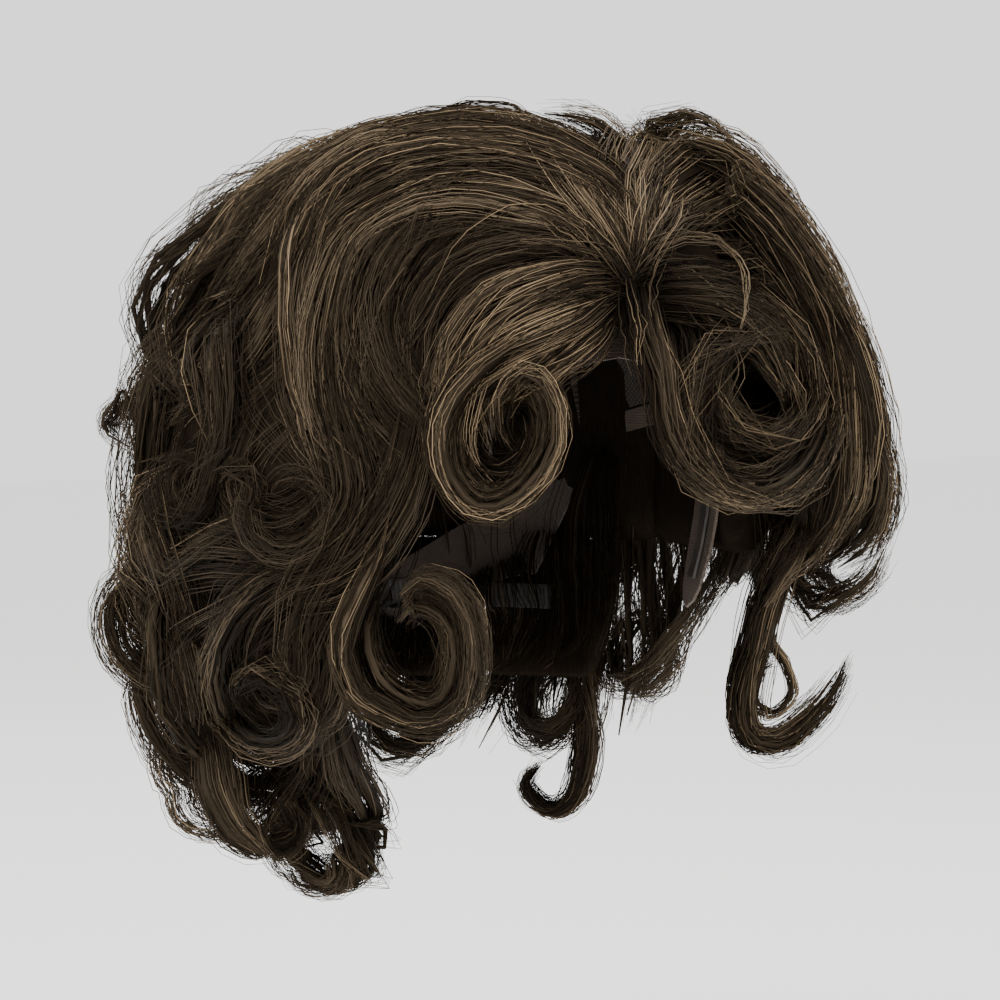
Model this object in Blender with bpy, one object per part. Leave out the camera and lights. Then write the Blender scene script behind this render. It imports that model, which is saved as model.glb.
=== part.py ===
"""Curly costume wig: a sewn cap with nets, bands, wefts and adjusters, carrying separate locks of hair.

Metres, +Z up, front towards -Y, wearer's left towards +X.
The origin is the centre of the wearer's head in the plane of the cap's girth.
Azimuths are in degrees from the front, 90 on the wearer's left, 180 at the nape.
Elevations are in degrees above the girth plane.
"""
import math

import bmesh
import bpy
from mathutils import Vector

# head form that the cap fits
HEAD_HALF_WIDTH = 0.072
HEAD_HALF_LENGTH = 0.092
HEAD_CROWN_HEIGHT = 0.080
HEAD_NAPE_DEPTH = 0.115

# cap layers, counted outwards from the head
HOOK_FLOOR = 0.0003
HOOK_THICKNESS = 0.0012
TAPE_THICKNESS = 0.0009
FABRIC_THICKNESS = 0.0009
WEFT_THICKNESS = 0.0012
LAYER_GAP = 0.0006
SEAM_GAP = 0.6            # degrees between panels that meet edge to edge
HALF_SEAM = 0.0004        # metres on each side of a seam that runs through the crown
GRID_STEP = 7.5           # degrees between the columns of a panel

# cap edge: azimuth and elevation, mirrored on the other side
CAP_EDGE = ((0, 21), (50, 4), (57, -2), (77, -2), (90, 4), (112.5, 0), (127.5, -24), (180, -38))
BAND_WIDTH = 9.0
BINDING_WIDTH = 5.0
NAPE_BAND_WIDTH = 13.0
FRONT_BAND_END = 56.0
EAR_BINDING_END = 117.0
CROWN_NET_EDGE = 37.0
PARTING_AZIMUTH = 15.0
PARTING_HALF_WIDTH = 15.0
PARTING_LOW = 32.0
PARTING_HIGH = 78.0
RIBBON_HALF_WIDTH = 3.2
SIDE_RIBBON_AZIMUTH = 143.0
WEFT_ROWS = ((40, 60), (30, 60), (20, 60), (11, 60), (1, 119), (-9, 119))  # elevation, first azimuth
WEFT_WIDTH = 3.2

# ear tabs and the stays sewn inside them
EAR_TAB_START = 58.0
EAR_TAB_END = 76.0
EAR_TAB_DROP = 24.0
EAR_TAB_TOP = -3.4        # below the cap's edge, which is level here, so that the tab folds freely
STAY_MARGIN = 6.5
STAY_DROP = 5.0

# nape adjusters and care label
ADJUSTER_ELEVATION = -28.5
STRAP_START = 122.0
STRAP_END = 148.0
STRAP_HALF_WIDTH = 2.2
HOOK_OVERLAP = 2.5        # degrees that the hook's plate laps over the strap's end
HOOK_REACH = 7.0
HOOK_HALF_WIDTH = 1.9
LADDER_START = 148.6
LADDER_END = 176.0
LADDER_HALF_WIDTH = 2.8
LADDER_WINDOWS = 3
LADDER_WINDOW_SHARE = 0.55
LABEL_HALF_WIDTH = 8.0
LABEL_TOP = -1.0
LABEL_BOTTOM = -23.0

# hair over the cap
HAIR_CLEARANCE = 0.0012
HAIR_DEPTH_CROWN = 0.030
HAIR_DEPTH_SIDE = 0.042
HAIR_DEPTH_LOWER = 0.056
LOCK_SHOULDER = 0.35      # how far a lock's rim drops, as a share of its depth
LOCK_GAP = 0.5            # degrees kept free on each side of a lock
CROWN_EDGE = 60.0
FRONT_HAIR_EDGE = 25.0    # where the hair starts over the forehead, at the parting
FRONT_HAIR_SPREAD = 30.0  # degrees from the parting over which that edge rises to the upper edge
UPPER_EDGE = 27.0
SIDE_EDGE = -17.0
LOWER_EDGE = -43.0
UPPER_LOCKS = (
    ("upper_lock_front_left", PARTING_AZIMUTH, 60.0),
    ("upper_lock_side_left", 60.0, 105.0),
    ("upper_lock_back_left", 105.0, 150.0),
    ("upper_lock_back", 150.0, 202.5),
    ("upper_lock_back_right", 202.5, 247.5),
    ("upper_lock_side_right", 247.5, 292.5),
    ("upper_lock_temple_right", 292.5, 337.5),
    ("upper_lock_front_right", 337.5, 360.0 + PARTING_AZIMUTH),
)
SIDE_LOCKS = (
    ("side_lock_left", 57.0, 97.5),
    ("side_lock_back_left", 97.5, 142.5),
    ("side_lock_back", 142.5, 195.0),
    ("side_lock_back_right", 195.0, 247.5),
    ("side_lock_right", 247.5, 297.5),
)
LOWER_LOCKS = (
    ("lower_lock_left", 108.0, 142.5),
    ("lower_lock_back_left", 142.5, 172.5),
    ("lower_lock_nape", 172.5, 202.5),
    ("lower_lock_back_right", 202.5, 240.0),
    ("lower_lock_right", 240.0, 282.5),
)

# curls that stand away from the head: directions along the brow, towards the viewer's side, and up
VIEW_ACROSS = Vector((0.866, -0.5, 0.0))
VIEW_TOWARDS = Vector((-0.5, -0.866, 0.0))
UP = Vector((0.0, 0.0, 1.0))
TIP_SHARE = 0.35          # a curl's thickness at its tip, as a share of its thickest
# places over the head: azimuth, elevation and stand-off
FRONT_ROLL_LEFT = (39.3, 2.1, 0.0276)
ROLL_LEFT_RADIUS = 0.0265
ROLL_LEFT_EYE = 0.0125
ROLL_LEFT_WIDTH = 0.040
ROLL_LEFT_THICKNESS = 0.0110
FRONT_ROLL_RIGHT = (331.3, 1.8, 0.0195)
ROLL_RIGHT_RADIUS = 0.0185
ROLL_RIGHT_EYE = 0.0085
ROLL_RIGHT_WIDTH = 0.030
ROLL_RIGHT_THICKNESS = 0.0080
CHEEK_RINGLET = (314.4, -28.35, 0.0282)
RINGLET_RADIUS = 0.0205
RINGLET_EYE = 0.0095
RINGLET_WIDTH = 0.020
RINGLET_THICKNESS = 0.0085
HOOK_ROOT = (46.6, -13.0, 0.0185)
HOOK_OFFSETS = (
    (0.000, 0.000, 0.000), (0.001, -0.001, -0.030), (0.005, -0.003, -0.058),
    (0.016, -0.009, -0.071), (0.027, -0.015, -0.062), (0.030, -0.017, -0.043),
)
HOOK_LOCK_WIDTH = 0.014
HOOK_LOCK_THICKNESS = 0.0110
NAPE_CURL_WIDTH = 0.026
NAPE_CURL_THICKNESS = 0.014
NAPE_CURLS = (            # name, place of the root, offsets from it, the way the curl's width lies
    ("nape_curl_right", (244.5, -49.3, 0.0434), (
        (0.000, 0.000, 0.000), (0.001, -0.001, -0.013), (0.006, -0.006, -0.026),
        (0.015, -0.014, -0.031), (0.021, -0.020, -0.022),
    ), (-0.6, 0.8, 0.0)),
    ("nape_curl_centre", (188.7, -48.4, 0.0482), (
        (0.000, 0.000, 0.000), (0.001, 0.002, -0.012), (0.006, 0.006, -0.023),
        (0.016, 0.011, -0.027), (0.024, 0.014, -0.018),
    ), (0.0, 1.0, 0.0)),
    ("nape_curl_left", (123.1, -50.5, 0.0405), (
        (0.000, 0.000, 0.000), (0.000, 0.001, -0.012), (-0.003, 0.003, -0.024),
        (-0.010, 0.007, -0.029), (-0.017, 0.012, -0.020),
    ), (0.7, 0.7, 0.0)),
)


def smooth_step(share):
    share = min(max(share, 0.0), 1.0)
    return share * share * (3 - 2 * share)


def head_point(azimuth, elevation, offset):
    """A point over the head form, an offset away from its surface."""
    turn = math.radians(azimuth)
    lift = math.radians(elevation)
    height = HEAD_CROWN_HEIGHT if lift > 0 else HEAD_NAPE_DEPTH
    return Vector((
        (HEAD_HALF_WIDTH + offset) * math.cos(lift) * math.sin(turn),
        -(HEAD_HALF_LENGTH + offset) * math.cos(lift) * math.cos(turn),
        (height + offset) * math.sin(lift),
    ))


def from_front(azimuth):
    """How far an azimuth is from the front, whichever side it is on."""
    return abs((azimuth + 180) % 360 - 180)


def cap_edge(azimuth):
    """Elevation of the cap's lower edge at an azimuth."""
    turn = from_front(azimuth)
    for (start, low), (end, high) in zip(CAP_EDGE, CAP_EDGE[1:]):
        if turn <= end:
            return low + (high - low) * smooth_step((turn - start) / (end - start))
    return CAP_EDGE[-1][1]


def raised_edge(amount):
    """The cap's edge moved up by an amount, as a function of azimuth."""
    return lambda azimuth: cap_edge(azimuth) + amount


def level(elevation):
    """The same elevation at every azimuth."""
    return lambda azimuth: elevation


# layer floors follow from the thicknesses
TAPE_FLOOR = HOOK_FLOOR + HOOK_THICKNESS + LAYER_GAP
FABRIC_FLOOR = TAPE_FLOOR + TAPE_THICKNESS + LAYER_GAP
WEFT_FLOOR = FABRIC_FLOOR + FABRIC_THICKNESS + LAYER_GAP
HAIR_FLOOR = WEFT_FLOOR + WEFT_THICKNESS + HAIR_CLEARANCE


def new_material(name, colour, roughness, metallic=0.0):
    material = bpy.data.materials.new(name)
    material.use_nodes = True
    shader = material.node_tree.nodes["Principled BSDF"]
    shader.inputs["Base Color"].default_value = (*colour, 1)
    shader.inputs["Roughness"].default_value = roughness
    shader.inputs["Metallic"].default_value = metallic
    return material


def hair_material(name, shade=1.0):
    return new_material(name, (0.045 * shade, 0.03 * shade, 0.02 * shade), 0.45)


def bent_block(name, divisions, place, material, pivot=(0, 0, 0)):
    """A block cut into a grid and bent: place(u, v, w), each from 0 to 1, gives each corner's point."""
    across, along, layers = divisions
    shape = bmesh.new()
    bmesh.ops.create_grid(shape, x_segments=across, y_segments=along, size=0.5)
    top = shape.faces[:]
    for layer in range(layers):
        if layer == 0:
            grown = bmesh.ops.extrude_face_region(shape, geom=top + shape.edges[:], use_keep_orig=True)
        else:
            grown = bmesh.ops.extrude_face_region(shape, geom=top)
        top = [item for item in grown["geom"] if isinstance(item, bmesh.types.BMFace)]
        raised = [item for item in grown["geom"] if isinstance(item, bmesh.types.BMVert)]
        bmesh.ops.translate(shape, verts=raised, vec=(0, 0, 1 / layers))
    origin = Vector(pivot)
    for corner in shape.verts:
        u, v, w = corner.co
        corner.co = place(u + 0.5, v + 0.5, w) - origin
    bmesh.ops.remove_doubles(shape, verts=shape.verts, dist=0.00001)
    bmesh.ops.recalc_face_normals(shape, faces=shape.faces)
    mesh = bpy.data.meshes.new(name)
    shape.to_mesh(mesh)
    shape.free()
    mesh.shade_smooth()
    mesh.set_sharp_from_angle(angle=math.radians(40))
    mesh.materials.append(material)
    piece = bpy.data.objects.new(name, mesh)
    piece.location = origin
    bpy.context.scene.collection.objects.link(piece)
    return piece


def column_stops(start, end, extra=()):
    """Azimuths of a panel's columns: its ends, and the grid's own columns that lie between them."""
    first = math.ceil((start + 0.1) / GRID_STEP)
    last = math.floor((end - 0.1) / GRID_STEP)
    inner = [GRID_STEP * step for step in range(first, last + 1)]
    return sorted({start, end, *inner, *extra})


def panel(name, azimuths, lower, upper, layer, material, rows=1, extra=(), pivot=(0, 0, 0), shift=(0, 0, 0)):
    """A sewn panel between two azimuths, from its lower to its upper edge, in a layer of the cap."""
    floor, thickness = layer
    stops = column_stops(*azimuths, extra=extra)
    columns = len(stops) - 1
    moved = Vector(shift)

    def place(u, v, w):
        azimuth = stops[round(u * columns)]
        low = lower(azimuth)
        elevation = low + (upper(azimuth) - low) * v
        return head_point(azimuth, elevation, floor + thickness * w) + moved

    return bent_block(name, (columns, rows, 1), place, material, pivot)


def on_side(word, start, end):
    """A range of azimuths as given on the wearer's left, mirrored on the right."""
    if word == "left":
        return start, end
    return 360 - end, 360 - start


HOOK_LAYER = (HOOK_FLOOR, HOOK_THICKNESS)
TAPE_LAYER = (TAPE_FLOOR, TAPE_THICKNESS)
FABRIC_LAYER = (FABRIC_FLOOR, FABRIC_THICKNESS)
WEFT_LAYER = (WEFT_FLOOR, WEFT_THICKNESS)


def make_bands():
    fabric = new_material("cap_binding", (0.03, 0.022, 0.018), 0.8)
    velvet = new_material("nape_velvet", (0.02, 0.016, 0.014), 0.95)
    panel("front_band", (-FRONT_BAND_END, FRONT_BAND_END), cap_edge, raised_edge(BAND_WIDTH),
          FABRIC_LAYER, fabric)
    panel("nape_band", on_side("left", EAR_BINDING_END + SEAM_GAP, 360 - EAR_BINDING_END - SEAM_GAP),
          cap_edge, raised_edge(NAPE_BAND_WIDTH), FABRIC_LAYER, velvet, rows=2)
    for word in ("left", "right"):
        panel("ear_binding_" + word, on_side(word, FRONT_BAND_END + SEAM_GAP, EAR_BINDING_END),
              cap_edge, raised_edge(BINDING_WIDTH), FABRIC_LAYER, fabric)


def make_nets():
    net = new_material("cap_net", (0.035, 0.026, 0.02), 0.7)
    band_seam = FRONT_BAND_END + SEAM_GAP / 2
    nape_seam = EAR_BINDING_END + SEAM_GAP / 2

    def net_edge(azimuth):
        turn = from_front(azimuth)
        if turn < band_seam:
            return cap_edge(azimuth) + BAND_WIDTH + SEAM_GAP
        if turn < nape_seam:
            return cap_edge(azimuth) + BINDING_WIDTH + SEAM_GAP
        return CROWN_NET_EDGE

    breaks = (FRONT_BAND_END, FRONT_BAND_END + SEAM_GAP, EAR_BINDING_END)
    panel("crown_net_left", (0.0, 180.0), net_edge, level(90.0), FABRIC_LAYER, net, rows=10,
          extra=breaks, shift=(HALF_SEAM, 0, 0))
    panel("crown_net_right", (180.0, 360.0), net_edge, level(90.0), FABRIC_LAYER, net, rows=10,
          extra=[360 - stop for stop in breaks], shift=(-HALF_SEAM, 0, 0))


def make_parting_patch():
    skin = new_material("scalp_patch", (0.28, 0.18, 0.13), 0.6)
    panel("parting_patch", (PARTING_AZIMUTH - PARTING_HALF_WIDTH, PARTING_AZIMUTH + PARTING_HALF_WIDTH),
          level(PARTING_LOW), level(PARTING_HIGH), WEFT_LAYER, skin, rows=6)


def make_ribbons():
    ribbon = new_material("cap_ribbon", (0.025, 0.02, 0.017), 0.6)
    low = raised_edge(NAPE_BAND_WIDTH + SEAM_GAP)
    high = level(CROWN_NET_EDGE - SEAM_GAP)
    for name, azimuth in (
        ("centre_ribbon", 180.0),
        ("side_ribbon_left", SIDE_RIBBON_AZIMUTH),
        ("side_ribbon_right", 360 - SIDE_RIBBON_AZIMUTH),
    ):
        panel(name, (azimuth - RIBBON_HALF_WIDTH, azimuth + RIBBON_HALF_WIDTH), low, high,
              FABRIC_LAYER, ribbon, rows=8)


def make_wefts():
    thread = new_material("weft_thread", (0.03, 0.02, 0.015), 0.7)
    for row, (elevation, start) in enumerate(WEFT_ROWS, start=1):
        panel(f"weft_row_{row}", (start, 360 - start), level(elevation - WEFT_WIDTH / 2),
              level(elevation + WEFT_WIDTH / 2), WEFT_LAYER, thread)


def make_ear_tabs():
    fabric = new_material("ear_tab_fabric", (0.03, 0.022, 0.018), 0.8)
    plastic = new_material("stay_plastic", (0.5, 0.48, 0.42), 0.4)
    middle = (EAR_TAB_START + EAR_TAB_END) / 2
    half = (EAR_TAB_END - EAR_TAB_START) / 2
    top = level(EAR_TAB_TOP)

    def rounded_bottom(azimuth):
        share = (from_front(azimuth) - middle) / half
        return EAR_TAB_TOP - EAR_TAB_DROP * (0.55 + 0.45 * math.sqrt(max(0.0, 1 - share * share)))

    for word in ("left", "right"):
        stops = [EAR_TAB_START + half * share for share in (0.25, 0.5, 1.0, 1.5, 1.75)]
        if word == "right":
            stops = [360 - stop for stop in stops]
        centre = sum(on_side(word, EAR_TAB_START, EAR_TAB_END)) / 2
        pivot = head_point(centre, EAR_TAB_TOP, FABRIC_FLOOR)
        panel("ear_tab_" + word, on_side(word, EAR_TAB_START, EAR_TAB_END), rounded_bottom, top,
              FABRIC_LAYER, fabric, rows=3, extra=stops, pivot=pivot)
        panel("ear_stay_" + word, on_side(word, EAR_TAB_START + STAY_MARGIN, EAR_TAB_END - STAY_MARGIN),
              level(EAR_TAB_TOP - EAR_TAB_DROP + STAY_DROP), level(EAR_TAB_TOP - STAY_DROP / 2),
              TAPE_LAYER, plastic, rows=3, pivot=pivot)


def cut_windows(ladder, word):
    """Openings through the ladder tape, for the hook to catch in."""
    pitch = (LADDER_END - LADDER_START) / LADDER_WINDOWS
    opening = pitch * LADDER_WINDOW_SHARE
    for window in range(LADDER_WINDOWS):
        start = LADDER_START + pitch * window + (pitch - opening) / 2
        half = LADDER_HALF_WIDTH / 2
        cutter = panel(f"window_{word}_{window}", on_side(word, start, start + opening),
                       level(ADJUSTER_ELEVATION - half), level(ADJUSTER_ELEVATION + half),
                       (HOOK_FLOOR, FABRIC_FLOOR), bpy.data.materials["adjuster_elastic"])
        cutter.hide_render = True
        cutter.display_type = "WIRE"
        cut = ladder.modifiers.new("window", "BOOLEAN")
        cut.object = cutter
        cut.operation = "DIFFERENCE"
        cut.solver = "EXACT"


def make_adjusters():
    elastic = new_material("adjuster_elastic", (0.02, 0.02, 0.02), 0.75)
    steel = new_material("hook_enamel", (0.05, 0.045, 0.04), 0.35, 0.6)
    for word in ("left", "right"):
        panel("adjuster_strap_" + word, on_side(word, STRAP_START, STRAP_END),
              level(ADJUSTER_ELEVATION - STRAP_HALF_WIDTH), level(ADJUSTER_ELEVATION + STRAP_HALF_WIDTH),
              TAPE_LAYER, elastic)
        panel("adjuster_hook_" + word, on_side(word, STRAP_END - HOOK_OVERLAP, STRAP_END + HOOK_REACH),
              level(ADJUSTER_ELEVATION - HOOK_HALF_WIDTH), level(ADJUSTER_ELEVATION + HOOK_HALF_WIDTH),
              HOOK_LAYER, steel)
        ladder = panel("adjuster_ladder_" + word, on_side(word, LADDER_START, LADDER_END),
                       level(ADJUSTER_ELEVATION - LADDER_HALF_WIDTH),
                       level(ADJUSTER_ELEVATION + LADDER_HALF_WIDTH), TAPE_LAYER, elastic)
        cut_windows(ladder, word)


def make_care_label():
    satin = new_material("label_satin", (0.75, 0.73, 0.68), 0.4)
    pivot = head_point(180.0, LABEL_TOP, TAPE_FLOOR + TAPE_THICKNESS / 2)
    panel("care_label", (180 - LABEL_HALF_WIDTH, 180 + LABEL_HALF_WIDTH), level(LABEL_BOTTOM),
          level(LABEL_TOP), TAPE_LAYER, satin, rows=3, pivot=pivot)


def front_hair_edge(azimuth):
    """Lower edge of the upper locks: it dips to the hairline at the parting."""
    share = from_front(azimuth - PARTING_AZIMUTH) / FRONT_HAIR_SPREAD
    return FRONT_HAIR_EDGE + (UPPER_EDGE - FRONT_HAIR_EDGE) * smooth_step(share) + LOCK_GAP


def hair_cell(name, azimuths, lower, high, material, rows, shift=(0, 0, 0)):
    """A lock lying over the cap: level inside, crowned outside, thinner along its rim."""
    start, end = azimuths
    stops = column_stops(start + LOCK_GAP, end - LOCK_GAP)
    columns = len(stops) - 1
    moved = Vector(shift)

    def place(u, v, w):
        azimuth = stops[round(u * columns)]
        low = lower(azimuth)
        elevation = low + (high - low) * v
        from_middle = max(abs(2 * (azimuth - start) / (end - start) - 1), abs(2 * v - 1))
        if high == 90.0:
            from_middle = 1 - v
        thickness = hair_depth(elevation) * (1 - LOCK_SHOULDER * from_middle ** 3)
        return head_point(azimuth, elevation, HAIR_FLOOR + thickness * w) + moved

    return bent_block(name, (columns, rows, 1), place, material)


def hair_depth(elevation):
    """Depth of hair over the cap: least on the crown, most behind and below the ears."""
    if elevation >= 0:
        share = smooth_step(elevation / 90)
        return HAIR_DEPTH_SIDE + (HAIR_DEPTH_CROWN - HAIR_DEPTH_SIDE) * share
    share = smooth_step(elevation / LOWER_EDGE)
    return HAIR_DEPTH_SIDE + (HAIR_DEPTH_LOWER - HAIR_DEPTH_SIDE) * share


def make_crown_hair():
    across = math.radians(PARTING_AZIMUTH + 90)
    shift = Vector((math.sin(across), -math.cos(across), 0)) * HALF_SEAM
    for word, start, way in (("left", PARTING_AZIMUTH, 1), ("right", PARTING_AZIMUTH + 180, -1)):
        name = "crown_hair_" + word
        stops = (start - LOCK_GAP, start + 180 + LOCK_GAP)
        hair_cell(name, stops, level(CROWN_EDGE + LOCK_GAP), 90.0, hair_material(name), 4, shift * way)


def make_hair_layers():
    for locks, lower, high, rows in (
        (UPPER_LOCKS, front_hair_edge, CROWN_EDGE, 4),
        (SIDE_LOCKS, level(SIDE_EDGE + LOCK_GAP), UPPER_EDGE, 5),
        (LOWER_LOCKS, level(LOWER_EDGE + LOCK_GAP), SIDE_EDGE, 4),
    ):
        for number, (name, start, end) in enumerate(locks):
            hair_cell(name, (start, end), lower, high - LOCK_GAP,
                      hair_material(name, 0.9 + 0.1 * (number % 3)), rows)


def spiral(centre, turn_from, turn_by, radius, tip_radius, steps):
    """Points that wind inwards round a centre, in the plane across and up."""
    points = []
    for step in range(steps + 1):
        share = step / steps
        angle = math.radians(turn_from + turn_by * share)
        reach = radius + (tip_radius - radius) * share
        points.append(centre + VIEW_ACROSS * math.cos(angle) * reach + UP * math.sin(angle) * reach)
    return points


def swept_lock(name, path, lateral, width, thickness, material, pivot=(0, 0, 0)):
    """A flat band of hair that follows a path; lateral is the way its width lies."""
    last = len(path) - 1
    side = Vector(lateral).normalized()

    def place(u, v, w):
        here = round(u * last)
        along = (path[min(here + 1, last)] - path[max(here - 1, 0)]).normalized()
        outward = along.cross(side).normalized()
        taper = 1 - (1 - TIP_SHARE) * smooth_step(u)
        crown = 1 - 0.35 * abs(2 * v - 1) ** 2
        return (path[here] + side * width * (v - 0.5) * (0.6 + 0.4 * taper)
                + outward * thickness * taper * crown * (w - 0.5))

    return bent_block(name, (last, 4, 1), place, material, pivot)


def curve_through(points, steps):
    """A smooth run of points through the given ones (Catmull-Rom)."""
    corners = [Vector(point) for point in points]
    corners = [2 * corners[0] - corners[1], *corners, 2 * corners[-1] - corners[-2]]
    run = []
    for before, start, end, after in zip(corners, corners[1:], corners[2:], corners[3:]):
        for step in range(steps):
            t = step / steps
            run.append(0.5 * (2 * start + (end - before) * t
                              + (2 * before - 5 * start + 4 * end - after) * t * t
                              + (3 * start - before - 3 * end + after) * t ** 3))
    run.append(corners[-2])
    return run


def placed_path(anchor, offsets, steps=4):
    """A smooth path whose points are offsets from an anchor."""
    return curve_through([anchor + Vector(offset) for offset in offsets], steps)


def make_front_rolls():
    centre = head_point(*FRONT_ROLL_LEFT)
    path = spiral(centre, 120, -400, ROLL_LEFT_RADIUS, ROLL_LEFT_EYE, 28)
    swept_lock("front_roll_left", path, VIEW_TOWARDS, ROLL_LEFT_WIDTH, ROLL_LEFT_THICKNESS,
               hair_material("front_roll_left"))
    centre = head_point(*FRONT_ROLL_RIGHT)
    path = spiral(centre, 140, 380, ROLL_RIGHT_RADIUS, ROLL_RIGHT_EYE, 24)
    swept_lock("front_roll_right", path, VIEW_TOWARDS, ROLL_RIGHT_WIDTH, ROLL_RIGHT_THICKNESS,
               hair_material("front_roll_right"))


def make_hanging_locks():
    path = spiral(head_point(*CHEEK_RINGLET), 130, 400, RINGLET_RADIUS, RINGLET_EYE, 26)
    swept_lock("cheek_ringlet_right", path, VIEW_TOWARDS, RINGLET_WIDTH, RINGLET_THICKNESS,
               hair_material("cheek_ringlet_right"), pivot=path[0])
    path = placed_path(head_point(*HOOK_ROOT), HOOK_OFFSETS)
    swept_lock("hook_lock_left", path, VIEW_TOWARDS, HOOK_LOCK_WIDTH, HOOK_LOCK_THICKNESS,
               hair_material("hook_lock_left"), pivot=path[0])
    for name, root, offsets, lateral in NAPE_CURLS:
        path = placed_path(head_point(*root), offsets)
        swept_lock(name, path, lateral, NAPE_CURL_WIDTH, NAPE_CURL_THICKNESS, hair_material(name),
                   pivot=path[0])


for stale in list(bpy.data.objects):
    bpy.data.objects.remove(stale)
make_bands()
make_nets()
make_parting_patch()
make_ribbons()
make_wefts()
make_ear_tabs()
make_adjusters()
make_care_label()
make_crown_hair()
make_hair_layers()
make_front_rolls()
make_hanging_locks()
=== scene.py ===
"""Curly costume wig: locks of hair standing on a sewn cap, in metres.

The origin is the centre of the wearer's head, the front is -Y and the wearer's left is +X.
"""
import math

import bmesh
import bpy
import numpy as np
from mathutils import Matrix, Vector


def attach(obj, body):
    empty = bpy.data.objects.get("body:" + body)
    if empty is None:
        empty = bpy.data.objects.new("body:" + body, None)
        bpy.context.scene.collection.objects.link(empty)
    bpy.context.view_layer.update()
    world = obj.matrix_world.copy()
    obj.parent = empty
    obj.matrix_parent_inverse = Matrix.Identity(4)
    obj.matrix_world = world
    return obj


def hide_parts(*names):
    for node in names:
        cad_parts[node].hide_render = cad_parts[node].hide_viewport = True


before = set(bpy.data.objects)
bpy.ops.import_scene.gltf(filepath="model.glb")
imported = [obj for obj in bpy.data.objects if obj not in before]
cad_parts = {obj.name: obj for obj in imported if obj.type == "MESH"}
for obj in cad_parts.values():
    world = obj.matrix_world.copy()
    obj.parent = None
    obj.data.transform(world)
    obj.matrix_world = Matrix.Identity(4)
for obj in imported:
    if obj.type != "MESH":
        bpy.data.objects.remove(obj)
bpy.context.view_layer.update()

MM = 0.001
DEGREES = 57.2958

# the wearer's head in millimetres
HEAD_HALF_WIDTH = 72.0
HEAD_HALF_LENGTH = 92.0
HEAD_CROWN = 80.0
HEAD_NAPE = 115.0

# directions that the swept locks are laid out along: across the view, towards the viewer and up
ACROSS = np.array((0.866, -0.5, 0.0))
TOWARD = np.array((-0.5, -0.866, 0.0))
UP = np.array((0.0, 0.0, 1.0))

# further across than this, the locks lie in waves and steps towards the viewer and away
SIDE_WAVE_START = 85.0
SIDE_WAVE_BLEND = 35.0
SIDE_WAVE = 6.5
SIDE_WAVE_LENGTH = 13.0
SIDE_STEP = 8.0

# strands
STRAND_RADIUS = 0.155
STRANDS_PER_CLUMP = 8
STRANDS_PER_CORE = 15
CORE_RADIUS = 1.7
TIP_SHARE = 0.4
TURN_PER_POINT = 0.43      # radians of bend that one length of a strand may take
BEND_SHARE = 0.6           # how far the points crowd into a strand's bends
# a painted shadow darkens the hair round the place where the front hair parts
ROOT_SHADOW = (47.0, 50.0, 9.0)   # where the front hair parts: across, up and depth
ROOT_SHADOW_CORE = 5.0
ROOT_SHADOW_REACH = 26.0
ROOT_SHADOW_LIGHT = 0.25   # share of its colour that hair keeps in the middle of the shadow
FEWEST_POINTS = 11
MOST_POINTS = 19
MOST_TIER_POINTS = 15
DARK_ASH = np.array((0.0105, 0.0078, 0.0053))
MID_ASH = np.array((0.041, 0.0305, 0.0200))
PALE_ASH = np.array((0.145, 0.109, 0.070))
GOLDEN_TAN = np.array((0.35, 0.250, 0.148))

# how the strands of a lock gather in clumps, as shares of the lock's half width or of its length
FEWEST_CLUMPS = 3
CLUMP_REACH = (0.7, 1.3)
CLUMP_END = (0.86, 1.0)
STRAND_REACH = 0.50
STRAND_END = (0.93, 1.02)
LATEST_START = 0.07
EARLIEST_END = 0.7
FEWEST_FOR_CORES = 80
SPREAD_SHARES = (0.0, 0.30, 0.75, 1.0)     # where along a lock its spread is given
SPREAD = (0.6, 1.0, 1.0, 0.55)
INNER_WIDTH = 0.72
INNER_DEPTH = 0.6
GATHERING = 0.4

# how they drift, wave and stray
CLUMP_DRIFT = ((0.16, 5.0), (0.30, 6.0))   # share and rate, along the width and the depth
STRAND_WAVE = 0.7
WAVE_RATES = (26.0, 31.0)
LOOSE_SHARE = 0.11
LOOSE_STRAY = 3.4
HELD_STRAY = 0.55
STRAY_RATE = (4.0, 11.0)
STRAY_RISE = 0.4
THICKNESS_RANGE = (0.75, 1.25)
INNER_TAPER = 0.85

# how their colours vary, and the shade and light painted into them
USUAL_TONE = 0.40
# painted shade: tone taken off a lock for each unit of gold below 0
SHADED_LOCK_DARKENING = 0.30
LOCK_TONE = 0.12
CLUMP_TONE = 0.20
STRAND_TONE = 0.16
# painted shade: tone taken off the thick inner strands that lie deep in a lock
CORE_PAINTED_SHADE = 0.12
GOLDEN_SHARE = 0.75
GOLDEN_RANGE = (0.2, 0.6)
# painted shade at the root: the share of its colour that a strand keeps there, rising over ROOT_LENGTH
ROOT_LIGHT = 0.34
ROOT_LENGTH = 0.22
# painted light and shade: strands on a lock's outer face are painted lighter, those on its inner side darker
FACING_LIGHT = (0.68, 0.42)    # light halfway through a lock, and what its outer face gains

# first seed of each kind of lock
SWEPT_SEED = 100
TIER_SEED = 400
CROWN_SEED = 600
NAPE_SEED = 700
LEAD_IN_SEED = 720
CURTAIN_SEED = 800
WAVE_SEED = 850
INNER_SEED = 900
FAN_SEED = 1000
RINGLET_SEED = 1050

OVER_PHASE = 1.9               # by which each swept lock's waves are ahead of the last one's
FINE_HALF_WIDTH = 5.0          # swept locks narrower than this are held closer
FINE_WANDER = 0.8
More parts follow.
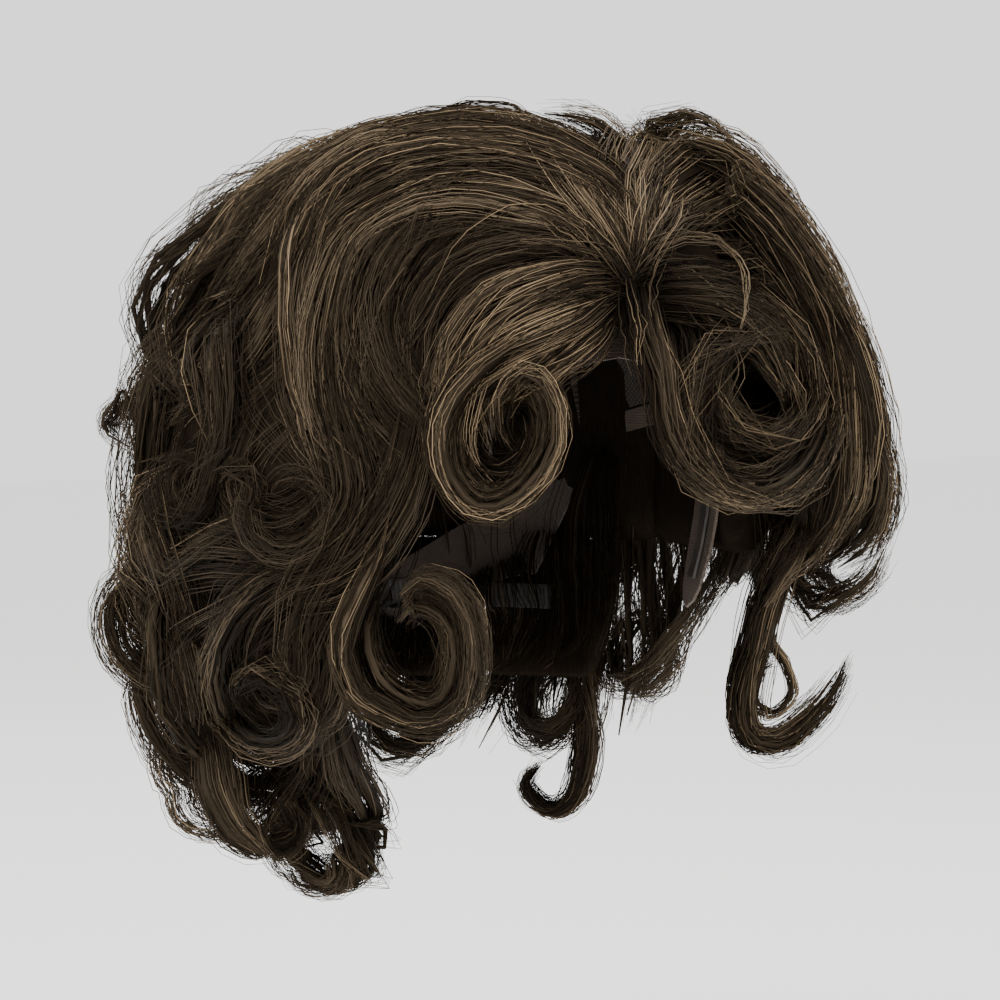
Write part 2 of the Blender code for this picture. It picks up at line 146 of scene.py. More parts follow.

# piece, strands, half width, half depth, lie, share of golden strands, which are golden streaks and also
# painted highlight where the hair faces the light (below 0 for a lock darkened with painted shade), and
# the lock's line: across, up and depth below the outer hair, all in millimetres
SWEPT_LOCKS = (
    ("crown_hair_right", 230, 16.2, 5.4, "over", 0.15, (
        (52, 72, 9), (45, 85, 3), (24, 96, 1), (-2, 100, 0), (-27, 97, 0), (-47, 86, 0), (-56, 70, 2),
        (-59, 51, 5),
    )),
    ("crown_hair_right", 230, 15.0, 5.4, "over", 0.1, (
        (51, 68, 9), (41, 79, 5), (22, 88, 3), (-2, 92, 2), (-24, 89, 2), (-43, 79, 3), (-54, 64, 4),
        (-56, 42, 6),
    )),
    ("crown_hair_right", 200, 12.5, 5.4, "over", 0.1, (
        (49, 64, 10), (37, 72, 7), (16, 79, 5), (-2, 82, 5), (-20, 79, 5), (-37, 70, 6), (-48, 56, 8),
        (-53, 36, 10),
    )),
    ("crown_hair_right", 170, 15.0, 5.4, "over", 0, (
        (53, 72, 14), (41, 92, 8), (15, 106, 6), (-9, 109, 6), (-30, 103, 6), (-49, 93, 7),
        (-67, 77, 10), (-81, 61, 14),
    )),
    ("upper_lock_front_right", 210, 11.2, 5.4, "over", -0.5, (
        (46, 60, 9), (31, 63, 8), (11, 63, 9), (-6, 56, 11), (-16, 43, 12), (-19, 25, 11),
        (-14, 10, 10), (-4, -2, 13),
    )),
    ("upper_lock_front_right", 190, 11.2, 5.4, "over", 0.45, (
        (45, 56, 8), (30, 56, 6), (13, 51, 6), (1, 42, 6), (-6, 27, 6), (-5, 11, 8), (2, -1, 10),
    )),
    ("upper_lock_front_right", 170, 8.8, 4.1, "over", 0.55, (
        (43, 52, 8), (31, 48, 5), (18, 43, 4), (6, 35, 4), (-3, 23, 4), (-7, 8, 5), (-3, -6, 7),
        (6, -12, 9),
    )),
    ("upper_lock_front_right", 130, 7.5, 4.1, "over", 0.4, (
        (42, 48, 8), (33, 40, 5), (21, 34, 4), (9, 29, 4), (-2, 21, 4), (-9, 8, 4), (-6, -6, 6),
        (5, -14, 8), (15, -9, 9), (21, 3, 10),
    )),
    ("upper_lock_front_right", 150, 13.8, 4.1, "over", 0.7, (
        (52, 59, 6), (47, 70, 3), (39, 81, 3), (31, 93, 4), (15, 105, 6), (-9, 109, 12),
    )),
    ("upper_lock_front_left", 130, 12.5, 4.1, "over", 0.7, (
        (52, 60, 6), (52, 72, 3), (54, 85, 3), (58, 98, 6), (62, 106, 12), (71, 110, 24),
    )),
    ("upper_lock_temple_right", 190, 11.2, 5.4, "over", -0.5, (
        (-2, 80, 9), (-18, 72, 6), (-30, 58, 6), (-34, 40, 6), (-29, 22, 7), (-17, 8, 8), (-4, -4, 10),
        (7, -9, 12),
    )),
    ("upper_lock_temple_right", 190, 11.2, 5.4, "over", 0.1, (
        (-24, 81, 5), (-37, 67, 5), (-43, 48, 5), (-45, 30, 5), (-41, 11, 6), (-31, -3, 8),
        (-28, -17, 10),
    )),
    ("upper_lock_temple_right", 22, 4, 2, "over", 0.3, (
        (-54, 82, 1), (-58, 67, -2), (-58, 48, -3), (-57, 33, -3), (-53, 14, -2), (-51, -1, 0),
    )),
    ("upper_lock_temple_right", 150, 10.0, 5.4, "over", 0, (
        (-44, 78, 6), (-52, 60, 6), (-54, 39, 5), (-52, 18, 6), (-48, 1, 8), (-46, -17, 10),
    )),
    ("upper_lock_side_right", 190, 12.5, 6.8, "over", 0, (
        (-48, 84, 10), (-62, 68, 8), (-74, 48, 10), (-84, 33, 14), (-93, 17, 20), (-91, 3, 26),
    )),
    ("upper_lock_side_right", 190, 12.5, 6.8, "over", 0, (
        (-55, 64, 8), (-66, 45, 6), (-77, 28, 8), (-97, 15, 14), (-111, 8, 20), (-122, 8, 26),
    )),
    ("upper_lock_side_right", 150, 11.2, 5.4, "over", 0.1, (
        (-52, 39, 6), (-65, 24, 6), (-80, 13, 9), (-101, 6, 14), (-114, 0, 20), (-116, -7, 24),
    )),
    ("upper_lock_side_right", 150, 11.2, 5.4, "over", 0, (
        (-75, 25, 3), (-92, 18, 9), (-111, 15, 15), (-122, 11, 19), (-126, 6, 21), (-122, 2, 21),
        (-113, 1, 21),
    )),
    ("upper_lock_side_right", 160, 12.5, 8.1, "over", 0, (
        (-52, 90, 22), (-72, 74, 24), (-86, 57, 30), (-95, 42, 36), (-103, 31, 40), (-105, 21, 42),
        (-95, 13, 40),
    )),
    ("side_lock_right", 230, 12.5, 6.8, "over", 0, (
        (-41, 39, 7), (-46, 22, 6), (-42, 5, 6), (-38, -11, 6), (-46, -24, 7), (-60, -30, 8),
        (-75, -25, 10), (-82, -11, 12), (-76, 1, 14), (-62, 2, 15),
    )),
    ("side_lock_right", 170, 10.0, 5.4, "over", 0, (
        (-55, 17, 8), (-68, 7, 8), (-75, -9, 8), (-71, -23, 8), (-58, -27, 8), (-47, -21, 8),
        (-39, -10, 8),
    )),
    ("side_lock_right", 200, 11.2, 6.8, "over", 0.1, (
        (-17, 20, 9), (-20, 3, 8), (-26, -13, 8), (-38, -28, 9), (-55, -35, 10), (-69, -33, 12),
        (-79, -23, 14), (-78, -10, 16),
    )),
    ("side_lock_right", 170, 11.2, 6.8, "over", 0, (
        (-56, 20, 12), (-76, 9, 14), (-97, -4, 20), (-104, -15, 24), (-97, -25, 24), (-93, -33, 24),
    )),
    ("side_lock_right", 200, 12.5, 6.8, "over", 0, (
        (-27, -4, 12), (-30, -20, 10), (-37, -34, 11), (-46, -49, 13), (-49, -68, 15), (-45, -87, 17),
    )),
    ("lower_lock_right", 185, 12.5, 6.8, "over", 0, (
        (-79, -23, 14), (-98, -35, 16), (-113, -44, 18), (-123, -57, 20), (-120, -72, 22),
        (-107, -81, 22), (-95, -75, 22), (-92, -63, 24), (-101, -54, 26),
    )),
    ("lower_lock_right", 170, 12.5, 6.8, "over", 0, (
        (-46, -33, 12), (-62, -35, 9), (-80, -34, 10), (-97, -42, 14), (-106, -58, 18),
        (-101, -70, 20), (-88, -76, 20), (-73, -65, 20),
    )),
    ("lower_lock_right", 190, 12.5, 6.8, "over", 0, (
        (-39, -32, 12), (-53, -38, 9), (-66, -47, 9), (-72, -62, 10), (-67, -78, 12), (-54, -80, 13),
        (-46, -69, 14), (-50, -54, 16), (-58, -50, 18),
    )),
    ("lower_lock_right", 190, 13.8, 6.8, "over", 0.1, (
        (-56, -43, 12), (-72, -54, 9), (-89, -72, 9), (-98, -91, 11), (-94, -107, 13), (-80, -118, 15),
        (-65, -115, 17), (-54, -101, 19), (-55, -85, 21),
    )),
    ("lower_lock_right", 160, 12.5, 6.8, "over", 0, (
        (-87, -54, 18), (-106, -70, 18), (-113, -85, 20), (-108, -102, 22), (-95, -115, 24),
        (-80, -118, 26), (-66, -110, 28),
    )),
    ("lower_lock_right", 160, 12.5, 6.8, "over", 0, (
        (-44, -65, 17), (-49, -85, 16), (-54, -110, 18), (-63, -124, 20), (-76, -133, 24),
        (-88, -134, 28),
    )),
    ("nape_curl_right", 160, 10.0, 5.4, "over", 0, (
        (-47, -80, 22), (-44, -100, 20), (-38, -122, 20), (-37, -136, 22), (-45, -148, 24),
        (-56, -147, 26), (-59, -137, 28), (-52, -131, 30),
    )),
    ("nape_curl_right", 120, 10.0, 6.8, "over", 0, (
        (-59, -110, 24), (-64, -126, 24), (-61, -138, 24), (-52, -145, 24), (-46, -149, 24),
    )),
    ("cheek_ringlet_right", 260, 11.2, 4.6, "roll", 0.05, (
        (-26, -14, 14), (-28, -28, 12), (-35, -43, 10), (-40, -57, 8), (-36, -73, 8), (-25, -80, 8),
        (-14, -81, 8), (-4, -74, 8), (-2, -59, 8), (-4, -45, 8), (-13, -38, 10), (-20, -41, 14),
        (-19, -51, 16),
    )),
    ("cheek_ringlet_right", 60, 2, 2, "over", 0.2, (
        (-32, -32, 10), (-40, -48, 7), (-43, -64, 6), (-38, -78, 6), (-25, -84, 5), (-12, -85, 5),
        (-4, -78, 6), (-1, -65, 8),
    )),
    ("front_roll_right", 300, 15.0, 4.1, "roll", 0.25, (
        (14, 36, 8), (-1, 26, 5), (-10, 12, 5), (-9, -3, 6), (1, -14, 7), (12, -11, 8), (21, 1, 9),
        (23, 13, 10), (18, 22, 12), (10, 19, 14), (8, 9, 16), (12, 3, 18),
    )),
    ("crown_hair_left", 230, 17.5, 6.8, "over", 0.3, (
        (55, 72, 9), (62, 82, 3), (77, 90, 1), (95, 82, 3), (109, 64, 8), (119, 43, 13), (126, 22, 18),
        (131, 2, 20), (131, -18, 24),
    )),
    ("crown_hair_left", 170, 13.8, 5.4, "over", 0.4, (
        (56, 74, 12), (65, 91, 12), (78, 97, 14), (92, 89, 18), (104, 72, 22), (113, 55, 26),
        (121, 33, 30),
    )),
    ("upper_lock_front_left", 230, 12.5, 5.4, "over", 0.6, (
        (56, 68, 9), (65, 76, 5), (80, 80, 3), (96, 72, 6), (109, 56, 10), (118, 34, 15), (121, 9, 20),
        (121, -11, 24), (115, -28, 28),
    )),
    ("upper_lock_front_left", 190, 11.2, 5.4, "over", 0.1, (
        (57, 63, 13), (69, 66, 12), (84, 62, 12), (98, 52, 14), (107, 36, 17), (111, 19, 19),
        (106, 4, 20), (97, -8, 22),
    )),
    ("upper_lock_front_left", 120, 7.5, 4.1, "over", 0.1, (
        (52, 53, 9), (54, 39, 7), (58, 26, 9), (60, 12, 12), (66, -1, 15), (77, -11, 18),
    )),
    ("upper_lock_front_left", 120, 8.8, 4.1, "over", 0.15, (
        (54, 58, 12), (64, 56, 11), (74, 47, 9), (86, 39, 12), (96, 25, 16), (100, 11, 20),
    )),
    ("front_roll_left", 400, 17.5, 5.4, "roll", 0.3, (
        (59, 49, 18), (82, 54, 21), (101, 43, 23), (112, 24, 25), (110, 3, 26), (96, -10, 27),
        (79, -10, 28), (66, 2, 28), (64, 18, 28), (73, 30, 29), (89, 31, 30), (100, 20, 31),
        (96, 6, 32),
    )),
    ("upper_lock_side_left", 220, 13.8, 6.8, "over", 0.4, (
        (97, 71, 18), (110, 51, 18), (121, 32, 20), (129, 12, 22), (132, -8, 26), (134, -25, 30),
        (129, -39, 34),
    )),
    ("side_lock_left", 210, 12.5, 6.8, "over", 0.2, (
        (113, 48, 28), (123, 25, 28), (127, 3, 28), (121, -16, 28), (111, -32, 30), (108, -44, 30),
        (118, -49, 30), (129, -44, 30), (135, -33, 32),
    )),
    ("side_lock_left", 190, 11.2, 6.8, "over", 0.1, (
        (103, 5, 30), (108, -11, 32), (106, -28, 34), (97, -40, 36), (92, -50, 38),
    )),
    ("side_lock_left", 160, 11.2, 6.8, "over", 0.1, (
        (122, 19, 34), (130, -1, 34), (131, -19, 34), (123, -33, 36), (112, -41, 38),
    )),
    ("hook_lock_left", 260, 7.5, 5.4, "roll", 0.15, (
        (113, -18, 34), (103, -36, 36), (95, -51, 38), (92, -67, 38), (88, -84, 36), (91, -96, 34),
        (102, -98, 32), (113, -89, 32), (120, -78, 32), (123, -69, 34),
    )),
    ("hook_lock_left", 60, 3, 2, "roll", 0.2, (
        (99, -51, 38), (97, -64, 36), (102, -73, 36), (104, -82, 36), (98, -88, 36), (92, -83, 36),
        (94, -74, 36), (101, -72, 36),
    )),
    ("front_roll_left", 240, 17.5, 6.8, "roll", 0.2, (
        (71, 39, 22), (87, 44, 22), (100, 38, 24), (105, 24, 26), (101, 10, 28), (87, 5, 30),
        (77, 10, 32), (73, 20, 34), (79, 28, 36), (89, 28, 38), (94, 20, 40),
    )),
    ("front_roll_left", 190, 11.2, 5.4, "roll", 0.25, (
        (58, 39, 24), (60, 23, 26), (63, 6, 26), (74, -6, 26), (87, -10, 18), (102, -4, 20),
        (112, 9, 22), (109, 20, 25), (101, 28, 28),
    )),
    ("upper_lock_front_left", 170, 10.0, 5.4, "over", -0.2, (
        (50, 48, 11), (56, 49, 10), (69, 48, 9), (84, 44, 12), (97, 35, 16), (104, 22, 20),
    )),
    ("upper_lock_front_right", 110, 6.2, 3.4, "over", 0.6, (
        (40, 43, 9), (33, 37, 6), (22, 29, 5), (12, 23, 5), (7, 16, 6),
    )),
    ("front_roll_right", 200, 13.8, 5.4, "roll", 0.1, (
        (7, 26, 16), (-1, 19, 16), (-4, 8, 16), (-2, -2, 18), (6, -7, 18), (14, -4, 20), (18, 4, 22),
        (17, 12, 24), (12, 14, 26),
    )),
    ("cheek_ringlet_right", 170, 10.0, 5.4, "roll", 0.1, (
        (-31, -42, 16), (-34, -54, 14), (-31, -68, 14), (-23, -76, 14), (-13, -76, 14), (-7, -70, 14),
        (-6, -59, 16), (-9, -50, 18), (-16, -46, 20), (-22, -50, 22),
    )),
    ("side_lock_right", 150, 13.8, 8.1, "over", -0.5, (
        (-39, 39, 14), (-54, 20, 12), (-72, 3, 13), (-90, -13, 16), (-99, -26, 20),
    )),
    ("side_lock_right", 150, 13.8, 8.1, "over", 0, (
        (-46, 48, 12), (-61, 32, 12), (-74, 13, 12), (-81, -5, 14), (-77, -23, 15), (-65, -34, 15),
    )),
    ("crown_hair_right", 150, 12.5, 5.4, "over", -0.4, (
        (46, 61, 11), (35, 66, 9), (19, 70, 8), (1, 70, 8), (-16, 66, 8), (-32, 57, 9), (-42, 43, 10),
        (-46, 26, 10),
    )),
    ("crown_hair_right", 150, 13.8, 5.4, "over", -0.3, (
        (49, 67, 14), (37, 81, 10), (20, 85, 9), (1, 86, 9), (-18, 81, 9), (-35, 72, 9), (-48, 59, 9),
        (-54, 39, 10),
    )),
    ("upper_lock_temple_right", 150, 12.5, 6.8, "over", -0.8, (
        (-11, 67, 14), (-24, 51, 11), (-32, 34, 10), (-34, 17, 10), (-29, -1, 11), (-24, -17, 13),
    )),
    ("lower_lock_right", 95, 16.2, 10.8, "over", -0.5, (
        (-26, -5, 18), (-34, -23, 16), (-46, -42, 16), (-56, -63, 17), (-60, -85, 18), (-57, -110, 20),
        (-59, -125, 24),
    )),
    ("nape_curl_right", 120, 13.8, 9.5, "over", 0, (
        (-47, -88, 26), (-52, -110, 26), (-59, -124, 28), (-70, -133, 30), (-82, -136, 32),
    )),
    ("side_lock_left", 150, 12.5, 8.1, "over", 0.1, (
        (106, 22, 34), (118, 5, 36), (121, -13, 36), (115, -29, 38), (106, -42, 40),
    )),
    ("side_lock_right", 150, 11.2, 6.8, "over", 0, (
        (-55, 67, 9), (-66, 46, 8), (-68, 26, 8), (-59, 7, 8), (-49, -8, 9), (-53, -24, 11),
    )),
    ("side_lock_right", 140, 11.2, 6.8, "over", -0.2, (
        (-70, 51, 11), (-80, 32, 12), (-86, 12, 14), (-83, -8, 16), (-72, -23, 16),
    )),
    ("side_lock_right", 150, 10.0, 6.8, "over", 0.05, (
        (-39, 20, 9), (-54, 13, 9), (-68, -3, 10), (-70, -21, 11), (-56, -30, 11), (-43, -20, 11),
        (-48, -9, 12), (-57, -12, 13),
    )),
    ("crown_hair_left", 26, 3, 1.5, "over", 0.3, (
        (52, 80, 10), (54, 97, 12), (61, 105, 20), (70, 109, 30), (81, 103, 36), (87, 93, 36),
        (96, 83, 34),
    )),
    ("crown_hair_left", 20, 2, 1.5, "over", 0.3, (
        (53, 78, 8), (62, 96, 8), (71, 98, 10), (85, 95, 14), (95, 83, 18), (103, 69, 20),
    )),
    ("crown_hair_right", 18, 3, 1.5, "over", 0.2, (
        (27, 97, 6), (16, 110, 12), (1, 113, 12), (-15, 109, 12), (-27, 101, 12),
    )),
    ("upper_lock_front_right", 7, 5, 2, "over", 0.5, (
        (48, 54, 4), (50, 42, 0), (50, 33, -2), (50, 21, -2),
    )),
    ("upper_lock_front_left", 7, 4, 2, "over", 0.5, (
        (76, 69, 2), (84, 60, 2), (84, 48, 2), (82, 39, 4),
    )),
    ("upper_lock_front_left", 160, 11.2, 6.8, "over", -0.6, (
        (50, 57, 13), (57, 53, 14), (66, 46, 17), (72, 36, 21), (73, 22, 25), (70, 11, 28),
    )),
    ("upper_lock_front_left", 14, 14, 3, "over", 0.3, (
        (48, 60, 6), (52, 75, 2), (63, 91, 1), (78, 101, 2), (94, 97, 8),
    )),
    ("upper_lock_front_right", 16, 16, 3, "over", 0.3, (
        (46, 60, 6), (38, 75, 1), (24, 84, 0), (7, 83, 0), (-9, 71, 0), (-17, 51, 2),
    )),
    ("upper_lock_side_right", 20, 12, 6, "over", 0.1, (
        (-57, 77, 4), (-74, 61, 4), (-90, 44, 6), (-103, 26, 10), (-114, 11, 16), (-122, 3, 20),
    )),
    ("side_lock_right", 18, 14, 6, "over", 0.1, (
        (-75, 16, 4), (-91, 2, 6), (-105, -15, 8), (-111, -33, 12), (-103, -50, 14),
    )),
    ("upper_lock_front_right", 110, 10.0, 4.1, "over", 0.45, (
        (51, 67, 8), (50, 80, 4), (51, 94, 4), (44, 104, 6), (34, 109, 10), (20, 110, 15),
    )),
    ("upper_lock_front_left", 110, 10.0, 4.1, "over", 0.45, (
        (53, 67, 8), (54, 80, 3), (59, 95, 4), (64, 104, 8), (73, 107, 14), (83, 102, 20),
    )),
    ("nape_curl_right", 110, 10.0, 6.8, "over", 0, (
        (-62, -100, 22), (-53, -115, 22), (-44, -128, 22), (-42, -139, 22), (-48, -148, 24),
        (-59, -149, 26), (-63, -141, 28),
    )),
    ("crown_hair_left", 120, 12.5, 5.4, "over", 0.3, (
        (72, 86, 12), (86, 76, 11), (97, 62, 12), (106, 46, 15), (113, 28, 19), (116, 12, 24),
    )),
    ("front_roll_left", 8, 3, 3, "roll", 0.5, (
        (86, 43, 16), (93, 32, 16), (102, 19, 18), (106, 7, 18),
    )),
    ("upper_lock_front_left", 6, 4, 2, "over", 0.5, (
        (62, 70, 4), (55, 58, 2), (52, 48, 0), (53, 42, -2),
    )),
)

# short hair that fans out from the parting: piece, first direction and bend at each step in degrees,
# share of golden strands, golden streaks and painted highlight (below 0 darkened with painted shade)
ROOT_FAN = (
    ("upper_lock_front_right", 168, 22, -0.1), ("upper_lock_front_right", 148, 18, 0.2),
    ("upper_lock_front_right", 128, 12, 0.4), ("upper_lock_front_right", 110, 6, 0.5),
    ("upper_lock_front_right", 92, 0, 0.5), ("upper_lock_front_left", 74, -8, 0.5),
    ("upper_lock_front_left", 54, -16, 0.3), ("upper_lock_front_left", 32, -24, 0.1),
)
FAN_ROOT = (48.0, 53.0)
FAN_STEPS = ((12.0, 2.0), (13.0, 1.0), (14.0, 2.0))     # length and depth of each
FAN_LEAD = ((-3.0, 9.0), (2.0, 6.0))      # way from the root and depth of the first two marks
FAN_STRANDS = 34
FAN_HALF_WIDTH = 9.0
FAN_HALF_DEPTH = 2.5

# ringlets that face the front on the wearer's right: piece, strands, half width, share of golden
# strands (golden streaks and painted highlight), the hair that leads in, centre (across, up), radius, first
# angle, turn and depth
RINGLETS = (
    ("lower_lock_right", 125, 12.5, 0.1, ((-55, -17, 12), (-71, -22, 9), (-85, -30, 8)),
     (-100, -52), 16.0, 70, 430, 8),
    ("lower_lock_right", 125, 12.5, 0.05, ((-55, -33, 12), (-71, -46, 8), (-82, -64, 6)),
     (-68, -80), 16.7, 165, 430, 5),
    ("side_lock_right", 110, 11.2, 0.0, ((-66, 16, 9), (-72, 4, 6), (-74, -7, 5)),
     (-57, -17), 15.0, 150, 420, 5),
    ("upper_lock_side_right", 90, 10.0, 0.1, ((-69, 51, 10), (-80, 47, 9)),
     (-92, 31), 11.0, 80, 380, 10),
    ("lower_lock_right", 75, 11.2, 0.1, ((-101, -87, 16), (-105, -102, 14), (-104, -113, 12)),
     (-89, -120), 12.0, 170, 400, 12),
)
RINGLET_HALF_DEPTH = 5.4
RINGLET_DRAW_IN = 0.62      # share of its radius that a ringlet loses along its turn
RINGLET_SINK = 6.0
RINGLET_STEP = 38           # degrees between marks

# back and sides: piece, azimuth, elevation of the root, elevation of the curl, stand-off there,
# curl radius, lean of the curl in degrees, way it turns (1 under, -1 outwards)
TIERED_LOCKS = (
    ("upper_lock_side_left", 70, 72, 26, 40, 15, 20, 1),
    ("upper_lock_side_left", 92, 74, 18, 44, 17, -25, -1),
    ("upper_lock_back_left", 112, 76, 29, 40, 14, 30, 1),
    ("upper_lock_back_left", 136, 76, 20, 42, 17, 15, 1),
    ("upper_lock_back", 158, 76, 28, 39, 15, -30, -1),
    ("upper_lock_back", 181, 76, 19, 41, 17, 25, 1),
    ("upper_lock_back", 198, 76, 29, 38, 14, -15, -1),
    ("upper_lock_back_right", 216, 76, 20, 31, 16, -30, -1),
    ("upper_lock_back_right", 236, 74, 27, 22, 13, 20, -1),
    ("upper_lock_side_right", 255, 70, 22, 30, 15, -25, 1),
    ("side_lock_left", 66, 34, -8, 45, 16, -20, -1),
    ("side_lock_left", 86, 36, -18, 46, 17, 30, 1),
    ("side_lock_back_left", 106, 34, -7, 44, 15, -30, -1),
    ("side_lock_back_left", 127, 36, -17, 46, 17, 20, 1),
    ("side_lock_back", 148, 34, -6, 44, 16, 25, 1),
    ("side_lock_back", 169, 36, -17, 45, 17, -25, -1),
    ("side_lock_back", 189, 34, -7, 43, 15, 30, 1),
    ("side_lock_back_right", 209, 36, -16, 41, 17, -20, -1),
    ("side_lock_back_right", 229, 34, -8, 30, 15, 25, -1),
    ("side_lock_right", 247, 34, -14, 34, 15, -20, 1),
    ("side_lock_right", 265, 30, -6, 36, 14, 25, -1),
    ("lower_lock_left", 112, 2, -38, 44, 16, 20, 1),
    ("lower_lock_left", 131, 0, -47, 42, 15, -30, -1),
    ("lower_lock_back_left", 150, 2, -39, 44, 16, -25, -1),
    ("lower_lock_back_left", 168, 0, -48, 43, 15, 25, 1),
    ("lower_lock_nape", 186, 2, -39, 45, 16, 30, 1),
    ("lower_lock_back_right", 204, 0, -48, 43, 15, -20, -1),
    ("lower_lock_back_right", 222, 2, -39, 43, 16, 25, 1),
    ("lower_lock_back_right", 239, 0, -46, 41, 14, -25, -1),
    ("lower_lock_right", 256, -2, -38, 42, 15, 20, 1),
)
TIER_FACING = 0.55          # share of the curl's elevation that its disc faces
TIER_SHARES = (0.0, 0.2, 0.4, 0.6, 0.8)
TIER_LEAD = 16              # degrees above the curl that the fall aims at
TIER_STAND_OFF = (0.45, 0.45)
TIER_RIPPLE = (3.0, 9.0)    # millimetres and rate
TIER_ASIDE = 7.0
TIER_GOLD = 0.05
TIER_DARKER = 0.4           # taken off the gold of every third lock
CURL_SINK = 9.0
CURL_SWING = (6.0, 6.5, 2.0)    # degrees, rate and what each lock is ahead of the last
CURL_ENTRY = 0.9
CURL_TURN = 430.0
CURL_STEP = 32.0
CURL_DRAW_IN = 0.55
CURL_INWARD = 4.0
CURL_FACE = (0.30, 0.35)    # share of the lock where its width starts to stand up, and over how much
CURL_FACE_LEAN = 0.3
PACKED_SHARE = 0.55
LOWER_PACKED_SHARE = 0.20
LOWER_PACKED_CLEAR = 6.0
PACKED_ROUNDING = 4
PACKED_SWELL = 1.07           # so that neighbours meet after the rounding
TIER_STRANDS = 165
TIER_HALF_WIDTH = 11.0
TIER_HALF_DEPTH = 5.5
TIER_SPREAD = (0.8, 2.0, 1.0, 0.55)

# crown: piece, azimuth that the hair is combed towards, elevation of its root on the parting
CROWN_SWEEPS = (
    ("crown_hair_left", 66, 66), ("crown_hair_left", 84, 70), ("crown_hair_left", 102, 74),
    ("crown_hair_left", 120, 77), ("crown_hair_left", 140, 80), ("crown_hair_left", 160, 82),
    ("crown_hair_right", 180, 84), ("crown_hair_right", 200, 82), ("crown_hair_right", 220, 80),
    ("crown_hair_right", 240, 77), ("crown_hair_right", 258, 74),
)
PARTING_AZIMUTH = 15.0
CROWN_SWEEP_END = 26.0
CROWN_MARKS = 8
CROWN_LIFT = (16.0, 13.0, 2.2)     # at the parting, gained past it, and how soon
CROWN_RIPPLE = (2.5, 8.0, 1.7)     # millimetres, rate and what each lock is ahead of the last
CROWN_ASIDE = (3.0, 7.0)
CROWN_STRANDS = 172
CROWN_HALF_WIDTH = 17.0
CROWN_HALF_DEPTH = 5.0
CROWN_GOLD = 0.12

# hair that falls close to the head: the piece and azimuth of each lock, then for each kind its elevation
# and stand-off as a start and a change, and its sway and ripple as a size, a rate and what each lock is
# ahead of the last
NAPE_CURTAINS = (
    ("lower_lock_left", 112), ("lower_lock_left", 132), ("lower_lock_back_left", 153),
    ("lower_lock_nape", 176), ("lower_lock_back_right", 200), ("lower_lock_back_right", 222),
    ("lower_lock_right", 244), ("lower_lock_right", 264),
)
CURTAIN_MARKS = 6
CURTAIN_ELEVATION = (-2, -54)
CURTAIN_STAND_OFF = (6, 22)
CURTAIN_SWAY = (5, 5, 1)
CURTAIN_RIPPLE = (3, 7, 1)
CURTAIN_STRANDS = 90
CURTAIN_HALF_WIDTH = 21.0
CURTAIN_HALF_DEPTH = 8.0

UNDER_WAVES = (
    ("side_lock_left", 62), ("side_lock_left", 75), ("side_lock_left", 88), ("side_lock_back_left", 101),
    ("side_lock_back_left", 114), ("side_lock_back_left", 127), ("side_lock_back_left", 140),
    ("side_lock_back", 153), ("side_lock_back", 166), ("side_lock_back", 179), ("side_lock_back", 192),
    ("side_lock_back_right", 199), ("side_lock_back_right", 205), ("side_lock_back_right", 218),
    ("side_lock_back_right", 231), ("side_lock_back_right", 244), ("side_lock_right", 258),
)
WAVE_MARKS = 10
WAVE_ELEVATION = (56, -94)
WAVE_STAND_OFF = (17, 8)
WAVE_SWAY = (4.0, 7.0, 1.3)
WAVE_RIPPLE = (5.0, 8.5, 2.1)
WAVE_STRANDS = 80
WAVE_HALF_WIDTH = 17.0
WAVE_HALF_DEPTH = 5.0
# painted shade on the waves under the outer curls: below 0, so they are darker
WAVE_PAINTED_SHADE = -0.35
WAVE_SPREAD = (1.1, 1.0, 1.0, 0.55)

INNER_NAPE = (
    ("lower_lock_left", 114), ("lower_lock_left", 126), ("lower_lock_left", 138),
    ("lower_lock_back_left", 150), ("lower_lock_back_left", 163), ("lower_lock_nape", 176),
    ("lower_lock_nape", 189), ("lower_lock_back_right", 202), ("lower_lock_back_right", 215),
    ("lower_lock_back_right", 228), ("lower_lock_right", 241),
)
CAP_EDGE_FROM_BACK = (0.0, 52.5, 67.5)      # degrees from the back, and the cap's edge there
CAP_EDGE_ELEVATION = (-38.0, -24.0, 0.0)
INNER_MARKS = 5
INNER_BELOW_EDGE = 1.5
INNER_END = -50.0
INNER_STAND_OFF = (1.6, 4.0)
INNER_SWAY = (3.0, 5.0, 1)
INNER_STRANDS = 90
INNER_HALF_WIDTH = 17.0
INNER_HALF_DEPTH = 1.2
# painted shade on the hair below the cap's edge: below 0, so it is darker
INNER_NAPE_PAINTED_SHADE = -0.3
INNER_WANDER = 0.5

# nape: piece, the lock that it hangs from, azimuth, elevation and stand-off of the root, then offsets
# from it in millimetres and the way that the curl's width lies
NAPE_CURLS = (
    ("nape_curl_right", "lower_lock_right", (244.5, -49.3, 43.4), (
        (0, 2, 13), (0, 0, 0), (1, -1, -13), (6, -6, -26), (15, -14, -31), (22, -20, -24), (17, -17, -14),
    ), (-0.6, 0.8, 0.0)),
    ("nape_curl_centre", "lower_lock_nape", (188.7, -48.4, 48.2), (
        (0, -4, 13), (0, 0, 0), (1, 2, -12), (6, 6, -23), (16, 11, -27), (24, 14, -18), (16, 12, -10),
    ), (0.0, 1.0, 0.0)),
    ("nape_curl_left", "lower_lock_left", (123.1, -50.5, 40.5), (
        (-3, -2, 13), (0, 0, 0), (0, 1, -12), (-3, 3, -24), (-10, 7, -29), (-18, 12, -20), (-12, 8, -11),
    ), (0.7, 0.7, 0.0)),
)
NAPE_STRANDS = 190
NAPE_HALF_WIDTH = 10.0
NAPE_HALF_DEPTH = 4.5
NAPE_GOLD = 0.05
NAPE_WANDER = 0.8
